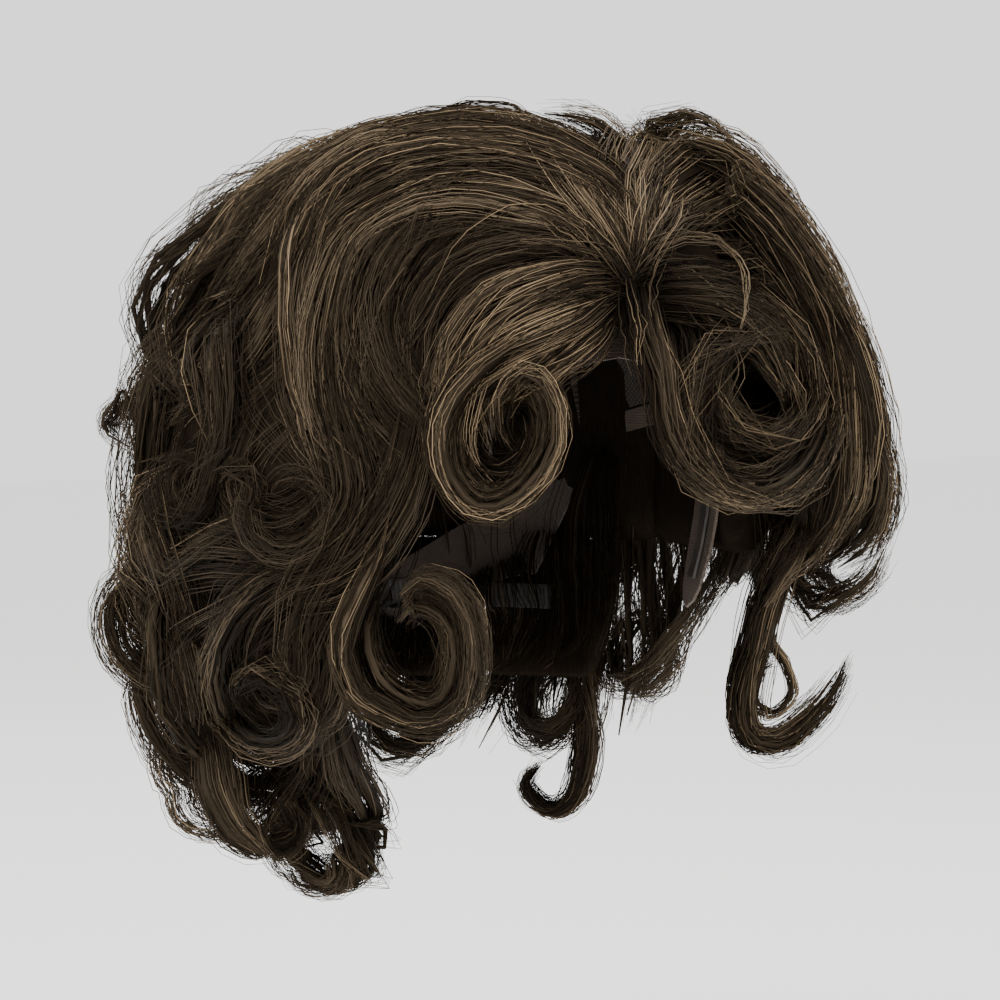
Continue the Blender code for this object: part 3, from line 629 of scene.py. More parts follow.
LEAD_IN = ((30, 16), (20, 8), (10, 3), (0, 0))     # degrees above a nape curl's root, depth below it
LEAD_IN_HALF_WIDTH = 11.0
LEAD_IN_HALF_DEPTH = 6.0
NAPE_SPREAD = (0.6, 1.0, 0.8, 0.3)

HANGING_BODIES = ("cheek_ringlet_right", "hook_lock_left", "nape_curl_left", "nape_curl_centre",
                  "nape_curl_right")


# room and camera, in metres, watts and degrees, with the sensor in millimetres
FLOOR_HALF_WIDTH = 6.0
FLOOR_HEIGHT = -0.32
ROOM_BRIGHTNESS = 1.6
LAMPS = (                     # name, place, size, power
    ("key_light", (-1.15, -1.15, 1.25), 0.6, 60.0),
    ("fill_light", (1.5, -1.0, 0.7), 1.0, 19.0),
    ("back_light", (0.6, 1.5, 1.3), 0.9, 12.0),
)
SENSOR_WIDTH = 36.0
VIEW_ANGLE = 13.87
CAMERA_DISTANCE = 1.37
CAMERA_HEIGHT = 0.053
AIM_ACROSS = 0.008
AIM_UP = -0.0187


# ---------------------------------------------------------------- the head and the hair's outer form
def ease(share):
    share = min(1.0, max(0.0, share))
    return share * share * (3.0 - 2.0 * share)


def hair_stand_off(across, up):
    """How far the outer hair stands off the head: fullest on the wearer's left and at the jaw."""
    return (30.0 + 22.0 * ease((across + 10.0) / 100.0) * ease((70.0 - up) / 60.0)
            + 14.0 * ease((-up - 5.0) / 45.0))


def swept_place(across, up, below, phase=0.0):
    """A point on the hair's outer form, or below it, and the way out of the head there.

    Near the sides, locks with different phases lie in waves one behind the other.
    """
    stand_off = hair_stand_off(across, up) - below
    half_width = HEAD_HALF_WIDTH + stand_off
    half_length = HEAD_HALF_LENGTH + stand_off
    half_height = HEAD_CROWN + stand_off if up > 0 else HEAD_NAPE + 0.35 * stand_off
    a = (TOWARD[0] / half_width) ** 2 + (TOWARD[1] / half_length) ** 2
    b = 2.0 * across * (ACROSS[0] * TOWARD[0] / half_width ** 2 + ACROSS[1] * TOWARD[1] / half_length ** 2)
    c = (across ** 2 * ((ACROSS[0] / half_width) ** 2 + (ACROSS[1] / half_length) ** 2)
         + (up / half_height) ** 2 - 1.0)
    toward = (-b + math.sqrt(max(0.0, b * b - 4.0 * a * c))) / (2.0 * a)
    beside = ease((abs(across) - SIDE_WAVE_START) / SIDE_WAVE_BLEND)
    wave = SIDE_WAVE * math.sin(up / SIDE_WAVE_LENGTH + phase)
    toward += beside * (wave + SIDE_STEP * (math.sin(phase) - 1.0))
    place = across * ACROSS + up * UP + toward * TOWARD
    way_out = place / np.array((half_width, half_length, half_height)) ** 2
    return place, way_out / np.linalg.norm(way_out)


def head_radius(direction):
    height = HEAD_CROWN if direction[2] > 0 else HEAD_NAPE
    scaled = direction / np.array((HEAD_HALF_WIDTH, HEAD_HALF_LENGTH, height))
    return 1.0 / np.linalg.norm(scaled)


def head_place(azimuth, elevation, stand_off):
    a, e = math.radians(azimuth), math.radians(elevation)
    direction = np.array((math.sin(a) * math.cos(e), -math.cos(a) * math.cos(e), math.sin(e)))
    return direction * (head_radius(direction) + stand_off)


# ---------------------------------------------------------------- strands
def smooth_line(points, samples=96):
    """A curve through the points, evenly spaced."""
    points = np.asarray(points, float)
    first = 2 * points[0] - points[1]
    last = 2 * points[-1] - points[-2]
    held = np.vstack((first, points, last))
    pieces = []
    t = np.linspace(0, 1, 12, endpoint=False)[:, None]
    for i in range(1, len(held) - 2):
        a, b, c, d = held[i - 1], held[i], held[i + 1], held[i + 2]
        pieces.append(0.5 * (2 * b + (c - a) * t + (2 * a - 5 * b + 4 * c - d) * t ** 2
                             + (3 * b - a - 3 * c + d) * t ** 3))
    line = np.vstack(pieces + [points[-1:]])
    along = np.concatenate(([0.0], np.cumsum(np.linalg.norm(np.diff(line, axis=0), axis=1))))
    even = np.linspace(0, along[-1], samples)
    return np.column_stack([np.interp(even, along, line[:, k]) for k in range(3)])


def rounded(line):
    """The line with its tight corners eased."""
    for _ in range(3):
        middle = (line[:-4] + line[1:-3] + line[2:-2] + line[3:-1] + line[4:]) / 5.0
        line = np.vstack((line[:2], middle, line[-2:]))
    return line


def unit(rows):
    return rows / np.maximum(np.linalg.norm(rows, axis=-1, keepdims=True), 1e-9)


def read_along(table, shares):
    grid = np.linspace(0, 1, len(table))
    return np.stack([np.interp(shares, grid, table[:, k]) for k in range(3)], axis=-1)


def points_needed(line, most):
    forward = unit(np.diff(line, axis=0))
    turned = np.arccos(np.clip(np.sum(forward[1:] * forward[:-1], axis=1), -1, 1)).sum()
    return int(np.clip(turned / TURN_PER_POINT + 5, FEWEST_POINTS, most))


def pace_along(line, points):
    """Shares of the line that put more of the points where it bends."""
    steps = np.linalg.norm(np.diff(line, axis=0), axis=1)
    forward = unit(np.diff(line, axis=0))
    bend = np.arccos(np.clip(np.sum(forward[1:] * forward[:-1], axis=1), -1, 1))
    bend = np.convolve(np.concatenate(([0.0], bend)), np.ones(5) / 5, mode="same")
    effort = BEND_SHARE * bend / max(bend.sum(), 1e-6) + (1.0 - BEND_SHARE) * steps / steps.sum()
    travelled = np.concatenate(([0.0], np.cumsum(effort)))
    return np.interp(np.linspace(0, 1, points), travelled, np.linspace(0, 1, len(line)))


def lock_of_hair(line, side, count, half_width, half_depth, gold_highlight_shade, seed, wander=1.0,
                 spread=SPREAD, most_points=MOST_POINTS):
    """Strands gathered in clumps that follow a line, round thicker inner ones.

    side is the way the lock's width lies.
    """
    draw = np.random.default_rng(seed)
    cores = count // STRANDS_PER_CORE if count > FEWEST_FOR_CORES else 0
    total = count + cores
    inner = np.arange(total) >= count
    forward = unit(np.gradient(line, axis=0))
    side = unit(side - forward * np.sum(side * forward, axis=1, keepdims=True))
    outward = np.cross(forward, side)
    middle = len(line) // 2
    facing = np.dot(outward[middle], line[middle])
    lock_tone = draw.normal(0.0, LOCK_TONE)
    clumps = max(FEWEST_CLUMPS, count // STRANDS_PER_CLUMP)
    turn = draw.uniform(0, 2 * math.pi, clumps)
    reach = np.sqrt(draw.uniform(0.1, 1, clumps)) * draw.uniform(*CLUMP_REACH, clumps)
    clump_of = draw.integers(0, clumps, total)
    clump_a = (reach * np.cos(turn))[clump_of]
    clump_b = (reach * np.sin(turn))[clump_of]
    clump_end = draw.uniform(*CLUMP_END, clumps)[clump_of]
    clump_tone = draw.normal(0, CLUMP_TONE, clumps)[clump_of]
    clump_phase = draw.uniform(0, 2 * math.pi, (clumps, 2))[clump_of]
    own_turn = draw.uniform(0, 2 * math.pi, total)
    own_reach = STRAND_REACH * np.sqrt(draw.uniform(0, 1, total))
    start = draw.uniform(0.0, LATEST_START, total)
    end = np.clip(clump_end * draw.uniform(*STRAND_END, total), EARLIEST_END, 1.0)
    share = pace_along(line, points_needed(line, most_points))
    at = start[:, None] + (end - start)[:, None] * share[None, :]
    width = np.interp(at, SPREAD_SHARES, spread)
    width = width * np.where(inner, INNER_WIDTH, 1.0)[:, None]
    gather = 1.0 - GATHERING * at
    a = clump_a[:, None] + gather * (own_reach * np.cos(own_turn))[:, None]
    b = clump_b[:, None] + gather * (own_reach * np.sin(own_turn))[:, None]
    (drift_a, rate_a), (drift_b, rate_b) = CLUMP_DRIFT
    a = a + drift_a * wander * np.sin(rate_a * at + clump_phase[:, :1])
    b = b + drift_b * wander * np.sin(rate_b * at + clump_phase[:, 1:])
    wave = STRAND_WAVE * wander * at
    a = a + wave * np.sin(WAVE_RATES[0] * at + 2.0 * clump_phase[:, :1]) / half_width
    b = b + wave * np.sin(WAVE_RATES[1] * at + 2.0 * clump_phase[:, 1:]) / half_depth
    loose = (draw.uniform(0, 1, total) < LOOSE_SHARE)[:, None]
    stray = np.where(loose, LOOSE_STRAY, HELD_STRAY) * wander * at * np.where(inner, 0.0, 1.0)[:, None]
    phase = draw.uniform(0, 2 * math.pi, (total, 3, 1))
    rate = draw.uniform(*STRAY_RATE, (total, 3, 1))
    stray = stray[:, None, :] * np.sin(rate * at[:, None, :] + phase)
    depth = half_depth * np.where(inner, INNER_DEPTH, 1.0)[:, None]
    places = (read_along(line, at)
              + (a * width * half_width + stray[:, 0])[..., None] * read_along(side, at)
              + (b * width * depth + stray[:, 1])[..., None] * read_along(outward, at)
              + stray[:, 2, :, None] * STRAY_RISE * UP)
    thickness = np.where(inner, CORE_RADIUS * min(1.0, half_depth / 4.0), STRAND_RADIUS)
    inner_taper = 1.0 - INNER_TAPER * share[None, :] ** 2
    outer_taper = 1.0 - (1.0 - TIP_SHARE) * share[None, :] ** 3
    taper = np.where(inner[:, None], inner_taper, outer_taper)
    radii = (thickness * draw.uniform(*THICKNESS_RANGE, total))[:, None] * taper
    # painted shade and highlight: gold below 0 darkens the whole lock as shade; golden strands are golden
    # streaks and painted highlight
    tone = USUAL_TONE + SHADED_LOCK_DARKENING * min(gold_highlight_shade, 0.0) + lock_tone + clump_tone
    tone = np.clip(tone + draw.normal(0, STRAND_TONE, total) - CORE_PAINTED_SHADE * inner, 0.0, 1.0)
    golden = (draw.uniform(0, 1, total) < GOLDEN_SHARE * gold_highlight_shade) * draw.uniform(*GOLDEN_RANGE, total) * ~inner
    # painted shade: darker towards the root, darker on the lock's inner side, lighter on its outer face,
    # darker near the parting
    shade = ROOT_LIGHT + (1.0 - ROOT_LIGHT) * np.clip(at / ROOT_LENGTH, 0, 1)
    shade = shade * (FACING_LIGHT[0] + FACING_LIGHT[1] * np.clip(np.sign(facing) * b, -1, 1))
    shade = shade * painted_parting_shadow(places)
    return places, radii, strand_colour(tone, golden)[:, None, :] * shade[..., None]


def painted_parting_shadow(places):
    """Painted shadow: the share of its colour that hair keeps, least where the front hair parts."""
    from_root = np.linalg.norm(places - swept_place(*ROOT_SHADOW)[0], axis=-1)
    near = np.clip((from_root - ROOT_SHADOW_CORE) / ROOT_SHADOW_REACH, 0, 1)
    return ROOT_SHADOW_LIGHT + (1.0 - ROOT_SHADOW_LIGHT) * near * near * (3.0 - 2.0 * near)


def strand_colour(tone, golden):
    tone = tone[:, None]
    low = DARK_ASH + (MID_ASH - DARK_ASH) * np.clip(tone * 2, 0, 1)
    whole = low + (PALE_ASH - MID_ASH) * np.clip(tone * 2 - 1, 0, 1) ** 1.5
    return whole + (GOLDEN_TAN - whole) * golden[:, None]


def strand_profile():
    """A small triangle that every strand is swept from."""
    data = bpy.data.curves.new("strand_profile", "CURVE")
    data.dimensions = "2D"
    spline = data.splines.new("POLY")
    spline.points.add(2)
    for point, turn in zip(spline.points, (0.0, -2.0944, -4.1888)):
        point.co = (math.cos(turn), math.sin(turn), 0.0, 1.0)
    spline.use_cyclic_u = True
    made = bpy.data.objects.new("strand_profile", data)
    bpy.context.scene.collection.objects.link(made)
    return made


def hair_piece(name, locks, finish, profile):
    """One mesh of many strands, each with a cell of its own on the map."""
    points = np.concatenate([np.full(len(lock[1]), lock[1].shape[1]) for lock in locks])
    places = np.concatenate([lock[0].reshape(-1, 3) for lock in locks]) * MM
    radii = np.concatenate([lock[1].ravel() for lock in locks]) * MM
    colours = np.concatenate([lock[2].reshape(-1, 3) for lock in locks])
    first = np.concatenate(([0], np.cumsum(points)))
    data = bpy.data.curves.new(name, "CURVE")
    data.dimensions = "3D"
    data.bevel_mode = "OBJECT"
    data.bevel_object = profile
    data.use_fill_caps = True
    co = np.column_stack((places, np.ones(len(places))))
    for low, high in zip(first[:-1], first[1:]):
        spline = data.splines.new("POLY")
        spline.points.add(int(high - low) - 1)
        spline.points.foreach_set("co", co[low:high].ravel())
        spline.points.foreach_set("radius", radii[low:high])
    drawn = bpy.data.objects.new(name + "_line", data)
    bpy.context.scene.collection.objects.link(drawn)
    mesh = bpy.data.meshes.new_from_object(drawn.evaluated_get(bpy.context.evaluated_depsgraph_get()))
    bpy.data.objects.remove(drawn)
    mesh.name = name
    strand, step, side = strand_places(points)
    map_strands(mesh, strand, step, side, points)
    vertex_colours = np.ones((len(strand), 4))
    vertex_colours[:, :3] = colours[first[strand] + step]
    tone = mesh.color_attributes.new("strand_tone", "FLOAT_COLOR", "POINT")
    tone.data.foreach_set("color", vertex_colours.ravel())
    mesh.polygons.foreach_set("use_smooth", np.ones(len(mesh.polygons), bool))
    mesh.materials.clear()
    mesh.materials.append(finish)
    made = bpy.data.objects.new(name, mesh)
    bpy.context.scene.collection.objects.link(made)
    return made


def strand_places(points):
    """Which strand, ring and side each corner is on: end caps come first, from the last strand back."""
    count = len(points)
    cap, cap_side = np.divmod(np.arange(6 * count), 3)
    cap_strand = count - 1 - cap // 2
    cap_step = np.where(cap % 2 == 0, points[cap_strand] - 1, 0)
    strand = np.repeat(np.arange(count), 3 * points)
    inside = np.arange(len(strand)) - 3 * (np.cumsum(points) - points)[strand]
    step, side = np.divmod(inside, 3)
    return (np.concatenate((cap_strand, strand)), np.concatenate((cap_step, step)),
            np.concatenate((cap_side, side)))


def map_strands(mesh, strand, step, side, points):
    """Two maps: a cell for each strand, and the way that its streaks are combed."""
    loops = np.empty(len(mesh.loops), np.int64)
    mesh.loops.foreach_get("vertex_index", loops)
    starts = np.empty(len(mesh.polygons), np.int64)
    totals = np.empty(len(mesh.polygons), np.int64)
    mesh.polygons.foreach_get("loop_start", starts)
    mesh.polygons.foreach_get("loop_total", totals)
    face = np.repeat(np.arange(len(totals)), totals)
    count = len(points)
    strand, step, side = strand[loops], step[loops], side[loops]
    last = points[strand] - 1.0
    highest = np.maximum.reduceat(side, starts)
    lowest = np.minimum.reduceat(side, starts)
    closing = (totals == 4) & (highest == 2) & (lowest == 0)
    around = np.where(closing[face] & (side == 0), 3, side) / 3.0
    along = 0.1 + 0.8 * step / last
    cap = totals[face] == 3
    nudge = np.where(side == 1, 0.08, 0.05)
    along = np.where(cap, np.where(step == 0, 0.1 - nudge, 0.9 + nudge), along)
    columns = int(math.ceil(math.sqrt(count)))
    rows = int(math.ceil(count / columns))
    u = (strand % columns + 0.06 + 0.88 * around) / columns
    v = (strand // columns + along) / rows
    layer = mesh.uv_layers.new(name="OFBake")
    layer.data.foreach_set("uv", np.column_stack((u, v)).ravel())
    combed = mesh.uv_layers.new(name="combed")
    combed.data.foreach_set("uv", np.column_stack((around + strand, step / last)).ravel())


# ---------------------------------------------------------------- finishes
class Field:
    """A value in a finish, with arithmetic that adds its nodes."""

    def __init__(self, finish, socket):
        self.finish = finish
        self.socket = socket

    def combine(self, operation, first, second):
        return self.finish.maths(operation, first, second)

    def __add__(self, other):
        return self.combine("ADD", self, other)

    def __radd__(self, other):
        return self.combine("ADD", other, self)

    def __sub__(self, other):
        return self.combine("SUBTRACT", self, other)

    def __rsub__(self, other):
        return self.combine("SUBTRACT", other, self)

    def __mul__(self, other):
        return self.combine("MULTIPLY", self, other)

    def __rmul__(self, other):
        return self.combine("MULTIPLY", other, self)

    def __pow__(self, other):
        return self.combine("POWER", self, other)

    def __gt__(self, other):
        return self.combine("GREATER_THAN", self, other)

    def sine(self):
        return self.finish.maths("SINE", self)

    def size(self):
        return self.finish.maths("ABSOLUTE", self)

    def root(self):
        return self.finish.maths("SQRT", self)


class Finish:
    """A material with one Principled shader."""

    def __init__(self, name, **constants):
        self.material = bpy.data.materials.new(name)
        self.material.use_nodes = True
        self.tree = self.material.node_tree
        self.shader = self.tree.nodes["Principled BSDF"]
        for key, value in constants.items():
            self.shader.inputs[key.replace("_", " ")].default_value = value

    def add(self, kind, settings, inputs, output=0):
        node = self.tree.nodes.new(kind)
        for key, value in settings.items():
            setattr(node, key, value)
        for key, value in inputs.items():
            if isinstance(value, Field):
                self.tree.links.new(value.socket, node.inputs[key])
            else:
                node.inputs[key].default_value = value
        return Field(self, node.outputs[output])

    def maths(self, operation, *values):
        return self.add("ShaderNodeMath", {"operation": operation}, dict(enumerate(values)))

    def feed(self, socket, value):
        self.tree.links.new(value.socket, self.shader.inputs[socket])

    def object_place(self):
        return self.add("ShaderNodeTexCoord", {}, {}, "Object")

    def split(self, vector):
        node = self.tree.nodes.new("ShaderNodeSeparateXYZ")
        self.tree.links.new(vector.socket, node.inputs[0])
        return [Field(self, node.outputs[k]) for k in range(3)]

    def noise(self, vector, scale, detail=2.0):
        return self.add("ShaderNodeTexNoise", {}, {"Vector": vector, "Scale": scale, "Detail": detail}, "Fac")

    def stretch(self, vector, factors):
        return self.add("ShaderNodeVectorMath", {"operation": "MULTIPLY"}, {0: vector, 1: factors})

    def between(self, share, first, second):
        node = self.tree.nodes.new("ShaderNodeMix")
        node.data_type = "RGBA"
        self.tree.links.new(share.socket, node.inputs["Factor"])
        for key, value in ((6, first), (7, second)):
            if isinstance(value, Field):
                self.tree.links.new(value.socket, node.inputs[key])
            else:
                node.inputs[key].default_value = (*value, 1.0)
        return Field(self, node.outputs[2])

    def relief(self, height, distance):
        bump = self.add("ShaderNodeBump", {}, {"Height": height, "Distance": distance}, "Normal")
        self.feed("Normal", bump)

    def round_the_head(self):
        """Angle round the head and angle above its girth, both in degrees."""
        x, y, z = self.split(self.object_place())
        azimuth = self.maths("ARCTAN2", x, 0.0 - y) * DEGREES
        level = self.maths("ARCTAN2", z, (x * x + y * y).root()) * DEGREES
        return azimuth, level


def hair_finish():
    made = Finish("ash_brown_hair", Roughness=0.55, Specular_IOR_Level=0.03,
                  Specular_Tint=(1.0, 0.80, 0.58, 1.0))
    tone = made.add("ShaderNodeAttribute", {"attribute_name": "strand_tone"}, {}, "Color")
    combed = made.stretch(made.add("ShaderNodeUVMap", {"uv_map": "combed"}, {}, "UV"), (26.0, 1.6, 0.0))
    streaks = made.noise(combed, 1.0, 3.0)
    deep = made.stretch(tone, (0.30, 0.295, 0.29))
    pale = made.stretch(tone, (1.65, 1.64, 1.61))
    made.feed("Base Color", made.between(streaks, deep, pale))
    return made.material


def shaded_under_hair_finish():
    """Packed hair close to the cap, combed downwards, coloured very dark as painted shade deep under the
    locks.
    """
    made = Finish("packed_hair", Roughness=0.9, Specular_IOR_Level=0.0)
    azimuth, level = made.round_the_head()
    combed = made.add("ShaderNodeCombineXYZ", {}, {0: azimuth * 2.6, 1: level * 0.10, 2: 0.0}, "Vector")
    streaks = made.noise(combed, 1.4, 4.0)
    # painted shade: very dark browns, so the packed hair reads as shadow between the locks
    made.feed("Base Color", made.between(streaks, (0.003, 0.0022, 0.0015), (0.020, 0.0148, 0.0098)))
    made.relief(streaks, 0.0012)
    return made.material


def net_finish():
    made = Finish("cap_netting", Roughness=0.7)
    azimuth, level = made.round_the_head()
    rising = ((azimuth * 0.9 + level) * 2.2).sine().size()
    falling = ((azimuth * 0.9 - level) * 2.2).sine().size()
    rows = (level * 4.4).sine().size()
    thread = made.maths("MINIMUM", made.maths("MINIMUM", rising, falling), rows + 0.15)
    cord = 1.0 - made.add("ShaderNodeMapRange", {"interpolation_type": "SMOOTHSTEP"},
                          {"Value": thread, "From Min": 0.12, "From Max": 0.42}, "Result")
    made.feed("Base Color", made.between(cord, (0.008, 0.006, 0.005), (0.075, 0.052, 0.036)))
    made.relief(cord, 0.0004)
    return made.material


def woven_finish(name, dark, light, across_ribs, along_ribs, roughness=0.75):
    """A woven tape: ribs one way and finer picks the other."""
    made = Finish(name, Roughness=roughness)
    azimuth, level = made.round_the_head()
    ribs = (azimuth * across_ribs).sine() * 0.5 + 0.5
    picks = (level * along_ribs).sine() * 0.5 + 0.5
    weave = ribs * 0.6 + picks * 0.4
    patch = made.noise(made.object_place(), 60.0, 3.0)
    made.feed("Base Color", made.between(weave * 0.7 + patch * 0.3, dark, light))
    made.relief(weave, 0.00025)
    return made.material


def velvet_finish():
    made = Finish("nape_velvet", Roughness=0.9, Sheen_Weight=0.6, Sheen_Roughness=0.4)
    pile = made.noise(made.object_place(), 1400.0, 3.0)
    brushed = made.noise(made.object_place(), 45.0, 2.0)
    nap = pile * 0.5 + brushed * 0.5
    made.feed("Base Color", made.between(nap, (0.010, 0.007, 0.005), (0.060, 0.040, 0.028)))
    made.relief(pile, 0.0005)
    return made.material


def parting_finish():
    """Fine skin-coloured mesh with the knots that the front hair is tied in."""
    made = Finish("parting_mesh", Roughness=0.65)
    spots = made.add("ShaderNodeTexVoronoi", {"feature": "F1"},
                     {"Vector": made.object_place(), "Scale": 700.0}, "Distance")
    knots = 1.0 - made.add("ShaderNodeMapRange", {},
                           {"Value": spots, "From Min": 0.18, "From Max": 0.34}, "Result")
    azimuth, level = made.round_the_head()
    mesh_lines = ((azimuth * 12.0).sine() * (level * 12.0).sine()).size()
    ground = made.between(mesh_lines, (0.40, 0.255, 0.17), (0.52, 0.36, 0.25))
    made.feed("Base Color", made.between(knots, ground, (0.03, 0.02, 0.014)))
    made.relief(mesh_lines + knots, 0.0002)
    return made.material


def satin_finish():
    """Blank satin label with a stitched hem."""
    made = Finish("label_satin", Roughness=0.35, Sheen_Weight=0.3)
    azimuth, level = made.round_the_head()
    floats = (level * 26.0 + azimuth * 9.0).sine() * 0.5 + 0.5
    edge_side = made.maths("COMPARE", (180.0 - azimuth.size()).size(), 7.0, 0.22)
    edge_ends = made.maths("COMPARE", (level + 12.0).size(), 9.8, 0.25)
    dashes_side = (level * 6.0).sine() > 0.0
    dashes_ends = (azimuth * 6.0).sine() > 0.0
    stitch = made.maths("MAXIMUM", edge_side * dashes_side, edge_ends * dashes_ends)
    cloth = made.between(floats, (0.62, 0.60, 0.55), (0.78, 0.76, 0.71))
    made.feed("Base Color", made.between(stitch, cloth, (0.05, 0.04, 0.035)))
    made.relief(floats + stitch * 2.0, 0.0001)
    return made.material


def moulded_finish(name, colour, worn, roughness, coat=0.0):
    made = Finish(name, Roughness=roughness, Coat_Weight=coat)
    wear = made.noise(made.object_place(), 220.0, 4.0)
    made.feed("Base Color", made.between(wear ** 3.0, colour, worn))
    made.feed("Roughness", wear * 0.2 + roughness * 0.8)
    made.relief(wear, 0.00008)
    return made.material


def dress_cap():
    """Gives every part of the cap its finish."""
    net = net_finish()
    binding = woven_finish("cap_binding_tape", (0.018, 0.012, 0.009), (0.105, 0.072, 0.050), 14.0, 9.0)
    ribbon = woven_finish("grosgrain_ribbon", (0.020, 0.014, 0.010), (0.120, 0.085, 0.060), 3.0, 16.0, 0.55)
    weft = woven_finish("weft_stitching", (0.010, 0.007, 0.005), (0.090, 0.062, 0.042), 9.0, 3.0)
    elastic = woven_finish("ribbed_elastic", (0.008, 0.007, 0.007), (0.060, 0.052, 0.048), 5.0, 20.0, 0.8)
    finishes = {
        "crown_net": net, "front_band": binding, "ear_binding": binding, "ear_tab": binding,
        "nape_band": velvet_finish(), "parting_patch": parting_finish(), "centre_ribbon": ribbon,
        "side_ribbon": ribbon, "weft_row": weft, "adjuster_strap": elastic, "adjuster_ladder": elastic,
        "adjuster_hook": moulded_finish("hook_enamel", (0.012, 0.010, 0.010), (0.10, 0.09, 0.08), 0.3, 0.4),
        "ear_stay": moulded_finish("stay_plastic", (0.030, 0.024, 0.020), (0.10, 0.085, 0.07), 0.4),
        "care_label": satin_finish(),
    }
    for node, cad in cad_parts.items():
        for start, finish in finishes.items():
            if node.startswith(start):
                cad.data.materials.clear()
                cad.data.materials.append(finish)


# ---------------------------------------------------------------- locks
def lie_along(marks, lie, phase=0.0):
    """The line through the marks and the way that a lock's width lies along it."""
    placed = [swept_place(*mark, phase) for mark in marks]
    line = smooth_line([place for place, way_out in placed])
    if lie == "roll":
        return line, np.tile(TOWARD, (len(line), 1))
    outs = read_along(np.array([way_out for place, way_out in placed]), np.linspace(0, 1, len(line)))
    return line, np.cross(np.gradient(line, axis=0), outs)


def swept_lines():
    """The locks that show from the front, in the order of their table."""
    for index, (piece, count, half_width, half_depth, lie, gold_highlight_shade, marks) in enumerate(SWEPT_LOCKS):
        line, side = lie_along(marks, lie, 0.0 if lie == "roll" else OVER_PHASE * index)
        wander = FINE_WANDER if half_width < FINE_HALF_WIDTH else 1.0
        yield piece, lock_of_hair(line, side, count, half_width, half_depth, gold_highlight_shade, SWEPT_SEED + index, wander)


def fan_lines():
    """Short hair that fans out from the parting and covers the roots of the rest."""
    for index, (piece, direction, bend, gold_highlight_shade) in enumerate(ROOT_FAN):
        heading = math.radians(direction)
        way = np.array((math.cos(heading), math.sin(heading)))
        marks = [(*(np.array(FAN_ROOT) + length * way), depth) for length, depth in FAN_LEAD]
        at = np.array(marks[-1][:2])
        for length, depth in FAN_STEPS:
            at = at + length * np.array((math.cos(heading), math.sin(heading)))
            marks.append((*at, depth))
            heading += math.radians(bend)
        line, side = lie_along(marks, "over")
        yield piece, lock_of_hair(line, side, FAN_STRANDS, FAN_HALF_WIDTH, FAN_HALF_DEPTH, gold_highlight_shade,
                                  FAN_SEED + index)


def ringlet_lines():
    """Locks that wind into a ringlet facing the front."""
    for index, (piece, count, half_width, gold_highlight_shade, lead, *coil) in enumerate(RINGLETS):
        centre, radius, first, turn, depth = coil
        marks = list(lead)
        for share in np.linspace(0, 1, turn // RINGLET_STEP + 1):
            angle = math.radians(first + turn * share)
            drawn = radius * (1.0 - RINGLET_DRAW_IN * share)
            marks.append((centre[0] + drawn * math.cos(angle), centre[1] + drawn * math.sin(angle),
                          depth + RINGLET_SINK * share))
        line, side = lie_along(marks, "roll")
        yield piece, lock_of_hair(line, side, count, half_width, RINGLET_HALF_DEPTH, gold_highlight_shade,
                                  RINGLET_SEED + index)


def tiered_lines():
    """Locks that fall in waves and end in a loose curl lying against the hair below."""
    for index, (piece, azimuth, root, tip, stand_off, radius, lean, way) in enumerate(TIERED_LOCKS):
        out = unit(head_place(azimuth, TIER_FACING * tip, 0.0))
        level_side = unit(np.cross(UP, out))
        fall = np.cross(out, level_side)
        fall = fall if fall[2] < 0 else -fall
        tilt = math.radians(lean)
        across = way * level_side * math.cos(tilt) + out * math.sin(tilt)
        centre = head_place(azimuth, tip, stand_off - CURL_SINK)
        start = centre - radius * across
        marks = []
        for share in TIER_SHARES:
            swing = CURL_SWING[0] * math.sin(CURL_SWING[1] * share + CURL_SWING[2] * index)
            swing -= way * TIER_ASIDE * share
            lift = stand_off * (TIER_STAND_OFF[0] + TIER_STAND_OFF[1] * math.sin(share * math.pi / 2))
            lift += TIER_RIPPLE[0] * math.sin(TIER_RIPPLE[1] * share + index)
            marks.append(head_place(azimuth + swing, root + (tip + TIER_LEAD - root) * share, lift))
        marks.append(start - fall * radius * CURL_ENTRY)
        for turn in np.arange(0.0, CURL_TURN, CURL_STEP):
            angle = math.radians(180.0 - turn)
            drawn = radius * (1.0 - CURL_DRAW_IN * turn / CURL_TURN)
            marks.append(centre + drawn * (math.cos(angle) * across + math.sin(angle) * fall)
                         - out * CURL_INWARD * turn / CURL_TURN)
        line = rounded(smooth_line(marks))
        shares = np.linspace(0, 1, len(line))
        turned = np.array([ease((share - CURL_FACE[0]) / CURL_FACE[1]) for share in shares])[:, None]
        side = level_side * (1.0 - turned) + (out + CURL_FACE_LEAN * level_side) * turned
        gold_highlight_shade = TIER_GOLD - TIER_DARKER * (index % 3 == 1)
        yield piece, lock_of_hair(line, side, TIER_STRANDS, TIER_HALF_WIDTH, TIER_HALF_DEPTH, gold_highlight_shade,
                                  TIER_SEED + index, spread=TIER_SPREAD, most_points=MOST_TIER_POINTS)


def on_the_head(marks):
    """The line through the marks, and a side that lays the lock's width on the head."""
    line = smooth_line(marks)
    return line, np.cross(np.gradient(line, axis=0), line)


def falling_line(index, azimuth, elevation, stand_off, sway, marks, ripple=(0.0, 0.0, 0.0)):
    """A lock's line down the head, swaying sideways and rippling in and out."""
    places = []
    for share in np.linspace(0, 1, marks):
        aside = sway[0] * math.sin(sway[1] * share + sway[2] * index)
        rise = ripple[0] * math.sin(ripple[1] * share + ripple[2] * index)
        places.append(head_place(azimuth + aside, elevation[0] + elevation[1] * share,
                                 stand_off[0] + stand_off[1] * share + rise))
    return on_the_head(places)


